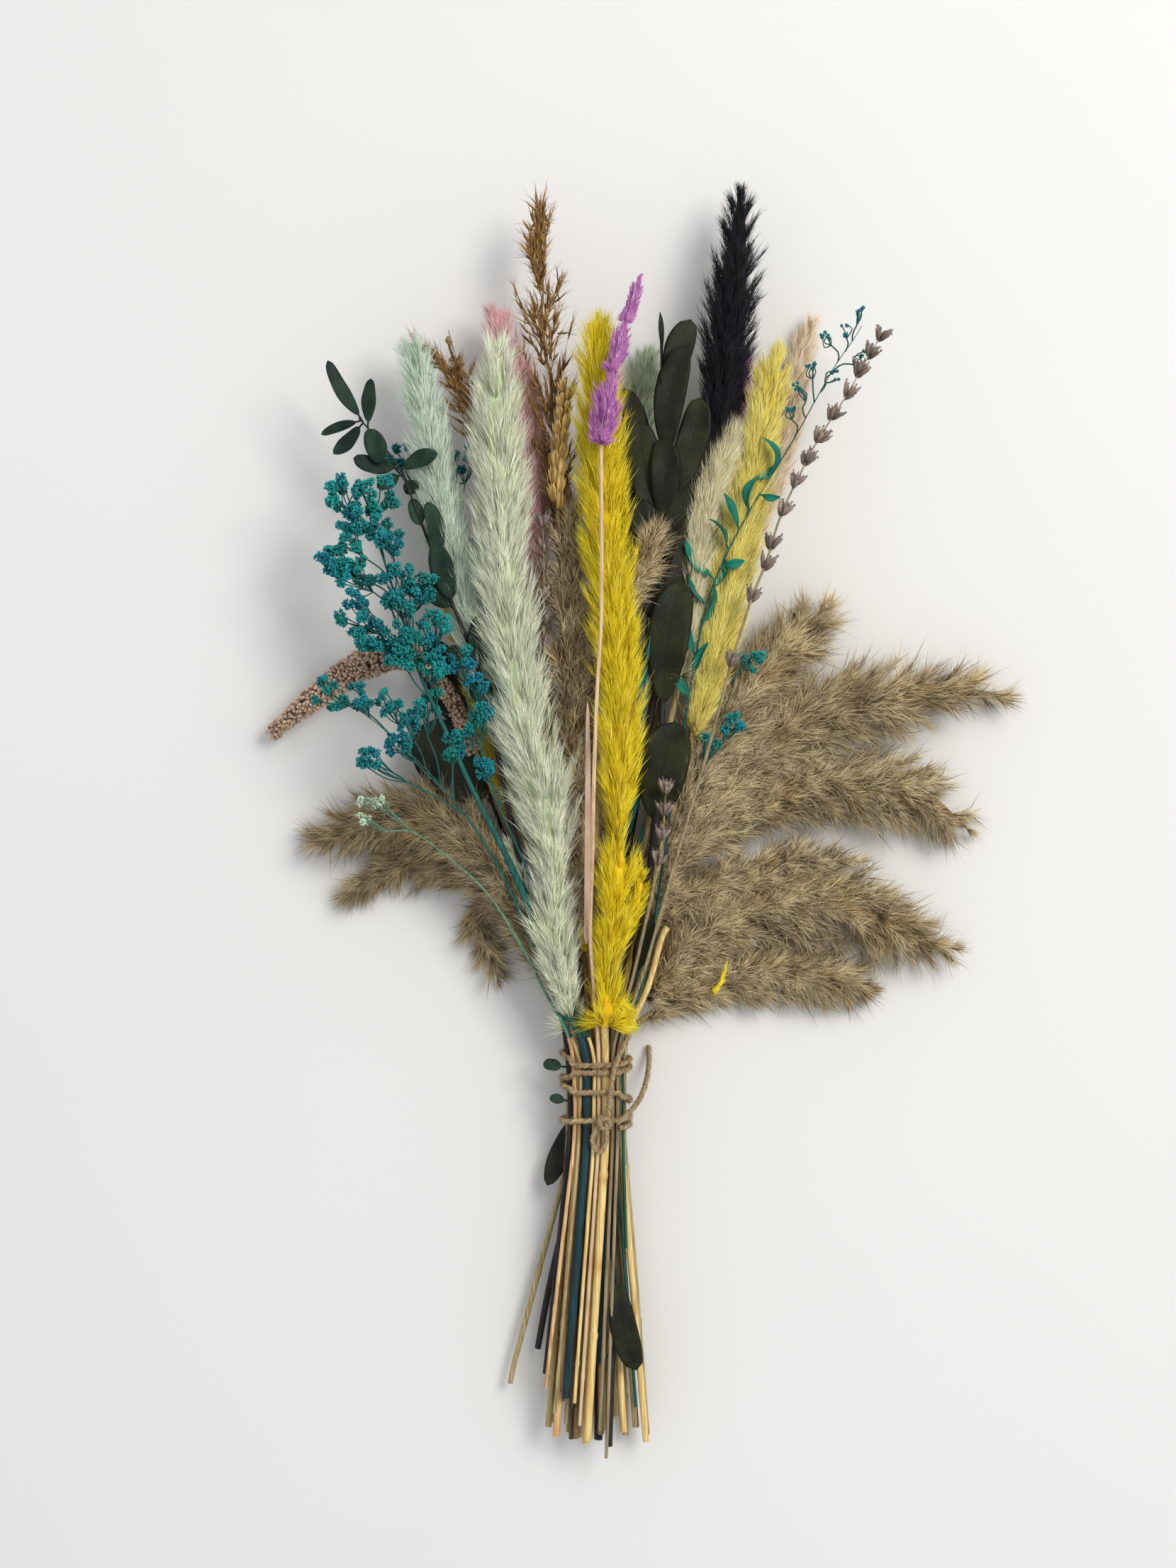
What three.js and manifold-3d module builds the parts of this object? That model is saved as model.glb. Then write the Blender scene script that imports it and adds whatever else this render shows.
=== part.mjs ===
/*
 * A bouquet of dried flowers and grasses, lying on its back on a flat surface.
 *
 * Forty-five stalks stand in six rows through a twine tie. Each stalk and the head that grew on it
 * is one solid: dyed grass plumes, natural reed plumes, bronze grass, a wheat ear, a millet spike,
 * eucalyptus, gypsophila ("mist"), lavender, and plain cut stalks.
 *
 * Millimetres. +Y runs up the stalks from the cut ends to the heads, +X is to the right and +Z is up,
 * away from the surface. While it is laid out, the tie is at X 0, Y 0, and the surface is at Z 0.
 */
import * as THREE from "three";
import { mergeVertices } from "three/addons/utils/BufferGeometryUtils.js";
import Module from "manifold-3d";

const wasm = await Module();
wasm.setup();

// ---------------------------------------------------------------- driving dimensions
const CLEARANCE = 0.35; // between neighbouring pieces
const TOP_REACH = 361; // tie to the highest tip
const FOOT_REACH = 141; // tie to the longest cut end
const SIDE_REACH = 168; // tie to the widest tip
const FOOT_SPREAD = 22; // tie to the cut ends on the right
const STALK_RADIUS = { woody: 1.7, straw: 1.6, cane: 1.35, grass: 1.1, wiry: 0.8 };
const PLUME_THICKNESS = 11; // where a plume has no thickness of its own
const FULLNESS = { reed: 1.35, plume: 1.15 }; // how far the heads fluff out over their drawn widths
const LEAF_THICKNESS = 1.0;
const BRANCH_RADIUS = 0.55; // the twigs that flower clusters and leaves stand on
const HEAD_ROW_PITCH = 8; // row above row among the heads
const ROWS_OPEN_AT = 140; // above the tie, where the rows reach their full spacing
const TIE_STRAIGHT_BELOW = 14; // the stalks run parallel from here under the tie
const TIE_STRAIGHT_ABOVE = 22; // to here above it
const TWINE_DIAMETER = 2.1;
const WHORL_LENGTH = 3.2; // of a lavender spike
const LONGEST_SPAN = 42; // between two stations of a stalk

// The routes below are drawn for these reaches, and stretch with them.
const DRAWN = { top: 361, foot: 141, side: 168, footSpread: 22 };
const along = (y) => y * (y > 0 ? TOP_REACH / DRAWN.top : FOOT_REACH / DRAWN.foot);
const across = (x) => x * (SIDE_REACH / DRAWN.side);
const acrossFeet = (x) => x * (FOOT_SPREAD / DRAWN.footSpread);

const THICKEST_STALK = Math.max(...Object.values(STALK_RADIUS));
const STALK_ROW_PITCH = 2 * THICKEST_STALK + CLEARANCE; // row above row, at the tie and the cut ends
const TWINE_RADIUS = TWINE_DIAMETER / 2;
const FOOT_ROW_Z = THICKEST_STALK + 0.2;
const TIE_ROW_Z = TWINE_DIAMETER + 2 * CLEARANCE + THICKEST_STALK;
const HEAD_ROW_Z = 4;

// Height of a row's stalks over the surface, at Y along the bouquet.
function rowHeight(row, y) {
  const tie = TIE_ROW_Z + row * STALK_ROW_PITCH;
  if (y > TIE_STRAIGHT_ABOVE) {
    const t = Math.min(1, (y - TIE_STRAIGHT_ABOVE) / (ROWS_OPEN_AT - TIE_STRAIGHT_ABOVE));
    return THREE.MathUtils.lerp(tie, HEAD_ROW_Z + row * HEAD_ROW_PITCH, t * t * (3 - 2 * t));
  }
  if (y < -TIE_STRAIGHT_BELOW) {
    const t = Math.min(1, (-y - TIE_STRAIGHT_BELOW) / (FOOT_REACH - TIE_STRAIGHT_BELOW));
    return THREE.MathUtils.lerp(tie, FOOT_ROW_Z + row * STALK_ROW_PITCH, t);
  }
  return tie;
}

// ---------------------------------------------------------------- shaping tools
const UP = new THREE.Vector3(0, 0, 1);

// A closed geometry as a manifold-3d solid, turned right side out.
function solidOf(geometry) {
  const bare = geometry.index ? geometry.toNonIndexed() : geometry.clone();
  bare.deleteAttribute("normal");
  bare.deleteAttribute("uv");
  const merged = mergeVertices(bare, 1e-3);
  const triangles = new Uint32Array(merged.index.array);
  const build = () =>
    new wasm.Manifold(
      new wasm.Mesh({
        numProp: 3,
        vertProperties: merged.attributes.position.array,
        triVerts: triangles,
      }),
    );
  const solid = build();
  if (solid.volume() >= 0) return solid;
  for (let i = 0; i < triangles.length; i += 3) {
    [triangles[i + 1], triangles[i + 2]] = [triangles[i + 2], triangles[i + 1]];
  }
  return build();
}

const fuse = (geometries) => geometries.map(solidOf).reduce((a, b) => a.add(b));

// A lathe turned on a straight axis and then bent along stations {at, wide, high}: one closed body
// whose section at each station is an ellipse of those half sizes. A last half size of 0 is a tip.
// The section's top stays as near to the upright direction as the path lets it.
function bentLathe(stations, sides, grow = 0, upright = UP) {
  const last = stations.length - 1;
  const profile = [new THREE.Vector2(0, 0), ...stations.map((s, i) => new THREE.Vector2(1, i))];
  if (stations[last].wide > 0) profile.push(new THREE.Vector2(0, last));
  else profile[profile.length - 1].x = 0;
  const lathe = new THREE.LatheGeometry(profile, sides);
  const axes = stations.map((station, i) => {
    const before = stations[Math.max(i - 1, 0)].at;
    const after = stations[Math.min(i + 1, last)].at;
    const tangent = after.clone().sub(before).normalize();
    const side = new THREE.Vector3().crossVectors(tangent, upright).normalize();
    return { side, top: new THREE.Vector3().crossVectors(side, tangent) };
  });
  const position = lathe.attributes.position;
  for (let i = 0; i < position.count; i += 1) {
    const k = Math.round(position.getY(i));
    const { at, wide, high } = stations[k];
    const point = at
      .clone()
      .addScaledVector(axes[k].side, position.getX(i) * (wide + grow))
      .addScaledVector(axes[k].top, position.getZ(i) * (high + grow));
    position.setXYZ(i, point.x, point.y, point.z);
  }
  return lathe;
}

// A tapered twig from one point to another.
function bar(from, to, radiusFrom, radiusTo, sides, grow = 0) {
  const length = from.distanceTo(to);
  const cylinder = new THREE.CylinderGeometry(radiusTo + grow, radiusFrom + grow, length, sides);
  const turn = new THREE.Quaternion().setFromUnitVectors(
    new THREE.Vector3(0, 1, 0),
    to.clone().sub(from).normalize(),
  );
  const middle = from.clone().add(to).multiplyScalar(0.5);
  return cylinder.applyMatrix4(
    new THREE.Matrix4().compose(middle, turn, new THREE.Vector3(1, 1, 1)),
  );
}

// A leaf with a bare length of its own stem, from a point inside the stalk to the leaf's tip.
// roll turns it about its length: 0 lies flat, 90 stands on edge.
function leaf(from, tip, width, roll, bareShare, grow = 0) {
  const length = from.distanceTo(tip) + grow;
  const neck = length * bareShare;
  const half = width / 2 + grow;
  const stemHalf = BRANCH_RADIUS + grow;
  const blade = length - neck;
  const outline = new THREE.Shape();
  outline.moveTo(0, -stemHalf);
  outline.lineTo(neck, -stemHalf);
  outline.bezierCurveTo(neck + blade * 0.15, -half, neck + blade * 0.75, -half, length, 0);
  outline.bezierCurveTo(neck + blade * 0.75, half, neck + blade * 0.15, half, neck, stemHalf);
  outline.lineTo(0, stemHalf);
  outline.closePath();
  const depth = LEAF_THICKNESS + 2 * grow;
  const sheet = new THREE.ExtrudeGeometry(outline, { depth, bevelEnabled: false, curveSegments: 2 });
  const x = tip.clone().sub(from).normalize();
  const y = new THREE.Vector3().crossVectors(UP, x).normalize();
  const z = new THREE.Vector3().crossVectors(x, y);
  return sheet
    .translate(0, 0, -depth / 2)
    .applyMatrix4(new THREE.Matrix4().makeRotationX(THREE.MathUtils.degToRad(roll)))
    .applyMatrix4(new THREE.Matrix4().makeBasis(x, y, z).setPosition(from));
}

// ---------------------------------------------------------------- the stalks' routes
// How far a stalk has climbed over its own row: nothing at the tie, all of it among the heads.
function climb(stalk, y) {
  const t = THREE.MathUtils.clamp((y - TIE_STRAIGHT_ABOVE) / 80, 0, 1);
  return (stalk.over ?? 0) * t * t * (3 - 2 * t);
}

const fullnessOf = (name) => (name.startsWith("reed") ? FULLNESS.reed : FULLNESS.plume);

// A stalk's stations: its cut end, its place in the tie, then the points drawn for it.
function stationsOf(stalk, row, slotX, footX) {
  const thick = stalk.thick ?? PLUME_THICKNESS;
  const radius = STALK_RADIUS[stalk.stalk];
  const footY = along(stalk.footY);
  const full = stalk.gives === PLUME ? fullnessOf(stalk.name) : 1;
  const station = (x, y, drawnWide = radius, height) => {
    const wide = drawnWide > radius * 1.5 ? drawnWide * full : drawnWide;
    const high = Math.min(wide, thick / 2);
    const z = height ?? rowHeight(row, y) + climb(stalk, y) + Math.max(0, high - radius);
    return { at: new THREE.Vector3(x, y, z), wide, high };
  };
  const drawn = [
    station(footX, footY),
    station(slotX, -TIE_STRAIGHT_BELOW),
    station(slotX, TIE_STRAIGHT_ABOVE),
    ...stalk.route.map(([x, y, wide, height]) => station(across(x), along(y), wide, height)),
  ];
  return drawn.flatMap((next, i) => {
    const last = drawn[i - 1];
    if (!last || last.at.distanceTo(next.at) < LONGEST_SPAN) return [next];
    const count = Math.ceil(last.at.distanceTo(next.at) / LONGEST_SPAN);
    const between = Array.from({ length: count - 1 }, (_, k) => {
      const share = (k + 1) / count;
      const at = last.at.clone().lerp(next.at, share);
      const wide = THREE.MathUtils.lerp(last.wide, next.wide, share);
      return wide > radius * 1.5
        ? station(at.x, at.y, wide / full, at.z)
        : station(at.x, at.y, wide);
    });
    return [...between, next];
  });
}

// The point of a stalk's centreline at a drawn Y.
function stalkPointAt(stations, drawnY) {
  const y = along(drawnY);
  const i = Math.max(1, stations.findIndex((s) => s.at.y >= y));
  const [a, b] = [stations[i - 1].at, stations[i].at];
  return a.clone().lerp(b, THREE.MathUtils.clamp((y - a.y) / (b.y - a.y), 0, 1));
}

// A lavender whorl opens and closes again within a few millimetres of the spike.
function withWhorls(stations, radius) {
  return stations.flatMap((point, i) => {
    if (point.wide <= radius) return [point];
    const back = stations[i - 1].at.clone().sub(point.at).normalize();
    const neck = (shift) => {
      const at = point.at.clone().addScaledVector(back, shift);
      return { at, wide: radius * 0.8, high: radius * 0.8 };
    };
    return [neck(WHORL_LENGTH / 2), point, neck(-WHORL_LENGTH / 2)];
  });
}

// ---------------------------------------------------------------- what grows on a stalk
// Leaves: [y on the stalk, tip x, tip y, width, lift over the stalk, roll, share of bare stem].
function leavesOn(stalk, stations, grow) {
  return (stalk.leaves ?? []).map(([y, tipX, tipY, width, lift, roll = 0, bare = 0.12]) => {
    const from = stalkPointAt(stations, y);
    const tip = new THREE.Vector3(across(tipX), along(tipY), from.z + lift);
    return leaf(from, tip, width, roll, bare, grow);
  });
}

// Flower clusters on thin branches: [y on the stalk, cluster x, y, lift, radius].
function clustersOn(stalk, stations, grow) {
  return (stalk.clusters ?? []).flatMap(([y, x, clusterY, lift, radius]) => {
    const from = stalkPointAt(stations, y);
    const to = new THREE.Vector3(across(x), along(clusterY), from.z + lift);
    const ball = new THREE.OctahedronGeometry((radius + grow) * 1.2);
    return [bar(from, to, BRANCH_RADIUS, BRANCH_RADIUS, 3, grow), ball.translate(to.x, to.y, to.z)];
  });
}

// Side twigs, each a thin spike: [y on the stalk, tip x, tip y, lift].
function twigsOn(stalk, stations, grow) {
  return (stalk.twigs ?? []).map(([y, x, tipY, lift]) => {
    const from = stalkPointAt(stations, y);
    const to = new THREE.Vector3(across(x), along(tipY), from.z + lift);
    return bar(from, to, BRANCH_RADIUS * 1.5, BRANCH_RADIUS * 0.6, 4, grow);
  });
}

function growStalk(stalk, row, slotX, footX, grow = 0) {
  const stations = stationsOf(stalk, row, slotX, footX);
  const spike = stalk.whorled ? withWhorls(stations, STALK_RADIUS[stalk.stalk]) : stations;
  const sides = stalk.gives === PLUME ? 8 : 5;
  return fuse([
    bentLathe(spike, sides, grow),
    ...leavesOn(stalk, stations, grow),
    ...clustersOn(stalk, stations, grow),
    ...twigsOn(stalk, stations, grow),
  ]);
}

// ---------------------------------------------------------------- the twine
// The twine's Y as it goes round the bundle: [angle, Y], with 0 on the right side and 90 on top.
const TURN_HEIGHTS = [
  [-60, 17.6], [0, 16.8], [90, 15.4], [180, 19.4], [360, 13.8], [450, 12.2], [540, 9.6],
  [720, 0.8], [810, 4.6], [900, 6.9], [1080, -6], [1260, -7.2], [1440, -8.8], [1512, -9.6],
];
const TURN_STEP = 26;
const KNOT = { x: 3.2, y: -7, radius: 3.2 };

function turnHeight(angle) {
  const i = Math.max(1, TURN_HEIGHTS.findIndex(([a]) => a >= angle));
  const [[a0, y0], [a1, y1]] = [TURN_HEIGHTS[i - 1], TURN_HEIGHTS[i]];
  const t = (angle - a0) / (a1 - a0);
  return THREE.MathUtils.lerp(y0, y1, t * t * (3 - 2 * t));
}

// The twine lies on the stalk that stands out furthest in each direction round the bundle.
function aroundBundle(slots, angle) {
  const a = THREE.MathUtils.degToRad(angle);
  const out = new THREE.Vector2(Math.cos(a), Math.sin(a));
  const reach = (s) => s.x * out.x + s.z * out.y + s.r;
  const outer = slots.reduce((best, s) => (reach(s) > reach(best) ? s : best));
  const off = outer.r + CLEARANCE + TWINE_RADIUS;
  return new THREE.Vector3(outer.x + out.x * off, turnHeight(angle), outer.z + out.y * off);
}

const TWINE_TOP = TIE_ROW_Z + 5 * STALK_ROW_PITCH + THICKEST_STALK + CLEARANCE + TWINE_RADIUS;
const TWINE_OVER = TWINE_TOP + TWINE_DIAMETER * 0.9; // where one strand crosses another

// A strand is drawn from the knot: [x, y, z], each z counted from the turns on top of the bundle.
const strandPoints = (drawn) =>
  drawn.map(([x, y, z]) => new THREE.Vector3(KNOT.x + x, KNOT.y + y, TWINE_TOP + z));

const BOW = [[0, 1, 2], [-3.2, -3, 1.4], [-4.4, -8, 0.6], [-2, -11.6, 0.3], [0.6, -8, 0.9],
  [0.9, -3, 2], [0.8, 1, 2.6]];
const LONG_END = [[1.2, -0.6, 2], [1.9, 6, 1.9], [2.8, 15, 1.9], [4.6, 23, 1.9], [10.4, 36, 2.4]];

function tube(points, sides, steps) {
  const section = new THREE.Shape();
  for (let i = 0; i < sides; i += 1) {
    const a = (2 * Math.PI * i) / sides;
    section[i ? "lineTo" : "moveTo"](TWINE_RADIUS * Math.cos(a), TWINE_RADIUS * Math.sin(a));
  }
  section.closePath();
  const extrudePath = new THREE.CatmullRomCurve3(points, false, "centripetal");
  return new THREE.ExtrudeGeometry(section, { steps, extrudePath, bevelEnabled: false });
}

function twineTie(slots) {
  const turns = [];
  for (let a = TURN_HEIGHTS[0][0]; a <= TURN_HEIGHTS.at(-1)[0]; a += TURN_STEP) {
    turns.push({ at: aroundBundle(slots, a), wide: TWINE_RADIUS, high: TWINE_RADIUS });
  }
  const lump = new THREE.IcosahedronGeometry(KNOT.radius, 1)
    .scale(1, 0.85, 0.62)
    .translate(KNOT.x, KNOT.y, TWINE_OVER - 0.4);
  return fuse([
    bentLathe(turns, 5, 0, new THREE.Vector3(0, 1, 0)),
    tube(strandPoints(BOW), 5, 14),
    tube(strandPoints(LONG_END), 5, 8),
    lump,
  ]);
}

// The tail leaves the knot's right side and droops over the bundle's edge to the surface.
const TAIL_LIES_AT = TWINE_RADIUS + 0.3 - TWINE_TOP;
const TAIL_ROUTE = [
  [4.9, 0, 2], [7.7, 2, 1.8], [11, 5.2, 0.2], [14.4, 9.4, -5], [16.5, 14, -11.5], [17.7, 18.8, -17.5],
  [18.1, 23.4, -22], [18, 28, TAIL_LIES_AT],
];

// ---------------------------------------------------------------- the plants, row by row
// gives is how readily a piece makes room for a neighbour. route is a stalk's points over the tie:
// [x, y], then the half width where it is more than the stalk's own, then the height of its centre
// over the surface where it leaves its row.
const FIRM = 0; // wood, straw and leaf
const SPIKE = 1; // seed heads
const SPRAY = 2; // clusters of small flowers
const PLUME = 3;

const ROWS = [
  // Row 0 lies on the surface.
  [
    { name: "reed_plume_left_lower", stalk: "cane", gives: PLUME, thick: 9, colour: 0xa08a66, footX: -14,
      footY: -122, route: [[-13, 40], [-27, 68, 4.5, 5], [-38, 83, 8, 4.3], [-46, 80, 8, 4.3],
        [-47, 69, 6.5, 4.3], [-43, 58, 4, 4], [-39, 47, 0, 3]] },
    { name: "mist_spray_back", stalk: "wiry", gives: SPRAY, colour: 0x14756f, footX: -9, footY: -112,
      route: [[-24, 110], [-43, 175], [-51, 215], [-57, 258, 0.6]],
      clusters: [[200, -79, 258, 1, 4], [225, -67, 265, 1.5, 5], [235, -54, 257, 1, 4.2],
        [175, -50, 222, 4, 4]] },
    { name: "brown_stalk", stalk: "cane", gives: FIRM, colour: 0x7d6a4a, footX: -4, footY: -131,
      route: [[-3, 60], [-2, 120], [-1, 178]] },
    { name: "reed_plume_right_lower", stalk: "straw", gives: PLUME, thick: 15, colour: 0x8f7e62, footX: 1,
      footY: -136, route: [[18, 40, 2], [30, 57, 6, 9], [48, 70, 12, 7.3], [70, 78, 14, 7],
        [95, 79, 14, 7], [115, 72, 12, 7.2], [130, 64, 8, 7.3], [145, 60, 0, 6]] },
    { name: "reed_plume_right_tail", stalk: "cane", gives: PLUME, thick: 10, colour: 0x8f7e62, footX: 8,
      footY: -128, route: [[19, 32, 1.6, 6], [34, 42, 5, 5], [54, 49, 9, 4.7], [76, 52, 10.5, 4.7],
        [96, 49, 9, 4.7], [112, 44, 0, 4]] },
    { name: "dark_curved_stalk", stalk: "wiry", gives: FIRM, colour: 0x2b2224, footX: 13, footY: -96,
      route: [[13, 36], [16, 50]] },
  ],
  // Row 1.
  [
    { name: "reed_plume_left_middle", stalk: "grass", gives: PLUME, thick: 10, colour: 0xa08a66,
      footX: -35, footY: -114, route: [[-17, 44], [-36, 82, 5], [-52, 97, 8, 9], [-70, 98, 8, 6],
        [-86, 91, 6, 5], [-104, 80, 0, 4]] },
    { name: "eucalyptus_round", stalk: "cane", gives: FIRM, colour: 0x2e3029, footX: -24, footY: -100,
      route: [[-20, 70], [-36, 105], [-49, 140], [-57, 165, 0.8]],
      leaves: [[118, -70, 150, 27, 2, 0, 0.1], [145, -66, 184, 17, 1], [125, -32, 146, 18, 1],
        [-34, -24, -8, 9, 4, 20]] },
    { name: "statice_sprig", stalk: "wiry", gives: SPIKE, colour: 0x8d7a5a, footX: -12, footY: -126,
      route: [[-22, 110], [-40, 200], [-47, 250], [-53, 285, 0.6], [-59, 308, 0.5]],
      clusters: [[278, -56, 294, 1, 2.6], [270, -49, 290, 1, 2.8], [290, -60, 302, 2, 2]] },
    { name: "mint_plume_back", stalk: "cane", gives: PLUME, colour: 0x9dab93, footX: -7, footY: -134,
      route: [[4, 110], [10, 205], [13, 232, 6, 9], [15, 255, 9, 7], [17, 276, 9, 5.2],
        [19, 292, 6.5, 5.2], [21, 301, 0, 5]] },
    { name: "purple_plume_back", stalk: "grass", gives: PLUME, thick: 8, colour: 0x7c3d86, footX: -2,
      footY: -127, route: [[14, 110], [38, 210], [45, 236, 3, 10], [50, 254, 5.5, 7], [54, 272, 6, 5],
        [57, 286, 4.5, 4.5], [59, 299, 0, 4]] },
    { name: "peach_plume", stalk: "cane", gives: PLUME, thick: 8, colour: 0xe0c3a6, footX: 4, footY: -133,
      route: [[24, 110], [52, 198], [63, 226, 5.5, 9], [71, 251, 7, 6], [76, 271, 7.5, 3.8],
        [79, 289, 7, 3.8], [83, 302, 5, 4], [87, 313, 0, 4]] },
    { name: "reed_plume_right_third", stalk: "cane", gives: PLUME, thick: 17, colour: 0x94815f, footX: 12,
      footY: -135, route: [[20, 70, 1.8], [32, 96, 6, 14], [56, 119, 10, 12], [85, 130, 14, 9.5],
        [112, 126, 14, 8.2], [134, 117, 10, 8.2], [151, 108, 0, 7]] },
  ],
  // Row 2.
  [
    { name: "reed_plume_left_upper", stalk: "cane", gives: PLUME, thick: 13, colour: 0xa48f6b, footX: -18,
      footY: -129, route: [[-19, 52], [-31, 78, 5.5], [-43, 99, 8.5], [-56, 111, 10, 19],
        [-71, 115, 10.5, 15], [-86, 113, 9.5, 12], [-101, 108, 6.5, 9], [-115, 101, 0, 7]] },
    { name: "millet_spike", stalk: "grass", gives: SPIKE, thick: 12, colour: 0xc0a58f, footX: -15,
      footY: -116, route: [[-16, 52], [-30, 98], [-46, 136], [-58, 162, 1.6], [-70, 177, 4.5],
        [-84, 179, 6, 21], [-99, 171, 6, 16], [-113, 161, 5, 11], [-124, 152, 3.6, 8],
        [-130, 147, 0, 7]] },
    { name: "yellow_plume_left", stalk: "grass", gives: PLUME, thick: 6, colour: 0xcdb32a, footX: -11,
      footY: -133, route: [[-12, 52], [-30, 108, 1.6], [-39, 130, 3.5], [-44, 150, 4.2],
        [-50, 172, 4.5], [-57, 195, 3.6], [-60, 206, 0]] },
    { name: "pink_plume", stalk: "cane", gives: PLUME, thick: 8, colour: 0xd9929a, footX: -7, footY: -135,
      route: [[-10, 70], [-17, 150], [-21, 182, 4], [-24, 208, 5.5], [-24, 232, 7.5], [-26, 254, 9],
        [-30, 276, 8.5], [-35, 294, 7], [-38, 306, 5], [-40, 314, 0]] },
    { name: "reed_plume_centre", stalk: "cane", gives: PLUME, thick: 8, colour: 0x8d7451, footX: -3,
      footY: -132, route: [[-4, 50], [-5, 70, 5], [-6, 95, 7.5], [-8, 125, 9.5], [-9, 158, 11],
        [-10, 190, 10.5], [-11, 215, 9.5], [-11, 236, 6], [-12, 251, 0]] },
    { name: "black_plume", stalk: "woody", gives: PLUME, thick: 15, colour: 0x14121c, footX: 1,
      footY: -136, route: [[9, 80], [27, 185], [32, 208, 5], [38, 228, 7.5], [44, 248, 8.5],
        [48, 268, 9], [51, 288, 10], [53, 306, 12], [54, 320, 12], [56, 336, 8.5], [56.5, 350, 5],
        [57, 361, 0]] },
    { name: "reed_plume_right_first", stalk: "cane", gives: PLUME, thick: 15, colour: 0x94815f, footX: 16,
      footY: -131, route: [[24, 90, 1.8], [34, 117, 5, 24], [46, 143, 10, 21], [59, 163, 11, 18],
        [73, 177, 10, 15], [85, 189, 7, 13], [94, 198, 0, 10]] },
    { name: "reed_plume_right_second", stalk: "straw", gives: PLUME, thick: 19, colour: 0x94815f,
      footX: 20, footY: -134, route: [[29, 88, 1.8], [39, 110, 6, 18], [58, 137, 12, 14.5],
        [84, 153, 14, 12], [111, 159, 14, 10.5], [134, 163, 9, 9.2], [152, 163, 4, 7.5],
        [168, 161, 0, 6]] },
  ],
  // Row 3.
  [
    { name: "mint_plume_left", stalk: "cane", gives: PLUME, thick: 8, colour: 0xc4d8c2, footX: -19,
      footY: -130, route: [[-21, 90], [-32, 130, 2], [-41, 158, 6], [-48, 184, 8], [-56, 214, 9.5],
        [-63, 246, 9.5], [-67, 272, 8], [-70, 290, 5], [-72, 300, 0]] },
    { name: "bronze_grass_side", stalk: "wiry", gives: SPIKE, thick: 5, colour: 0x7a5430, footX: -15,
      footY: -124, route: [[-15, 110], [-30, 215], [-38, 250, 1.2], [-46, 272, 3], [-54, 285, 3],
        [-62, 294, 1.6], [-68, 300, 0]],
      twigs: [[258, -56, 266, 1], [266, -62, 274, 0], [272, -50, 290, 2], [280, -66, 288, 1]] },
    { name: "bronze_grass_tall", stalk: "grass", gives: SPIKE, thick: 6, colour: 0x80572e, footX: -10,
      footY: -135, route: [[-8, 110], [-14, 205], [-15, 228, 2.2], [-15, 248, 4.2], [-17, 268, 5.2],
        [-19, 288, 5.2], [-21, 308, 4.4], [-22, 326, 3.2], [-22, 342, 1.8], [-22, 357, 0]],
      twigs: [[230, -24, 262, 1], [238, -7, 262, 1], [252, -28, 282, 1], [256, -8, 288, 1],
        [272, -32, 302, 1], [276, -10, 306, 1], [292, -31, 318, 1], [296, -13, 322, 1]] },
    { name: "straw_stalk_short", stalk: "straw", gives: FIRM, colour: 0xcdb882, footX: -5.5, footY: -111,
      route: [[-3, 60], [0, 125], [1, 150]] },
    { name: "cream_plume", stalk: "cane", gives: PLUME, thick: 8, colour: 0xc9bf93, footX: 2,
      footY: -133, route: [[16, 90], [33, 168, 1.8], [36, 184, 5], [40, 203, 8], [44, 222, 9.5],
        [48, 240, 9.5], [53, 255, 7], [56, 267, 0]] },
    { name: "yellow_plume_right", stalk: "cane", gives: PLUME, thick: 9, colour: 0xe3cc45, footX: 11,
      footY: -132, route: [[23, 90], [38, 144, 1.8], [43, 163, 5.5], [48, 183, 8.5], [52, 203, 9.5],
        [56, 224, 9.5], [61, 246, 9], [66, 268, 8.5], [69, 285, 6.5], [71, 297, 0]] },
    { name: "mist_spray_low_right", stalk: "wiry", gives: SPRAY, colour: 0x1a8a80, footX: 16,
      footY: -122, route: [[26, 80], [42, 130], [52, 160, 0.6], [60, 182, 0.5]],
      clusters: [[130, 53, 150, 8, 3.6], [120, 45, 142, 6, 3], [165, 61, 176, 5, 3.6]] },
    { name: "straw_stalk_right", stalk: "cane", gives: FIRM, colour: 0xd8bf7f, footX: 20, footY: -136,
      route: [[21, 46], [27, 70]] },
  ],
  // Row 4.
  [
    { name: "eucalyptus_small", stalk: "cane", gives: FIRM, colour: 0x23372c, footX: -20, footY: -108,
      route: [[-21, 60], [-33, 110], [-41, 150, 1.1], [-47, 174, 1.1], [-55, 194, 1.0], [-62, 212, 0.9],
        [-69, 230, 0.8], [-77, 250, 0.8], [-86, 262, 0.7], [-93, 270, 0.6]],
      leaves: [[268, -105, 292, 6, 3, 20], [266, -88, 285, 6, 3, -20], [266, -84, 252, 8.5, 3, 0, 0.02],
        [268, -103, 256, 6, -1, 15], [269, -108, 264, 4, -4], [250, -95, 254, 7, 2, 10],
        [250, -62, 256, 7, 3, -10], [248, -86, 243, 6, -2, 20], [246, -71, 241, 6.5, -3],
        [240, -69, 228, 6, 1], [213, -66, 237, 8, 2, 30], [196, -63, 221, 9.5, 2],
        [195, -68, 205, 8, -2], [170, -45, 193, 9, 4], [172, -58, 180, 8, -3, 10],
        [156, -47, 168, 9.5, 3, 10], [14, -21, 15.5, 5, 1, 20, 0.3], [0.5, -18.5, 2, 4, 1, 20, 0.3]] },
    { name: "mint_plume_front", stalk: "straw", gives: PLUME, thick: 13, colour: 0xc9dcc4, footX: -16,
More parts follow.
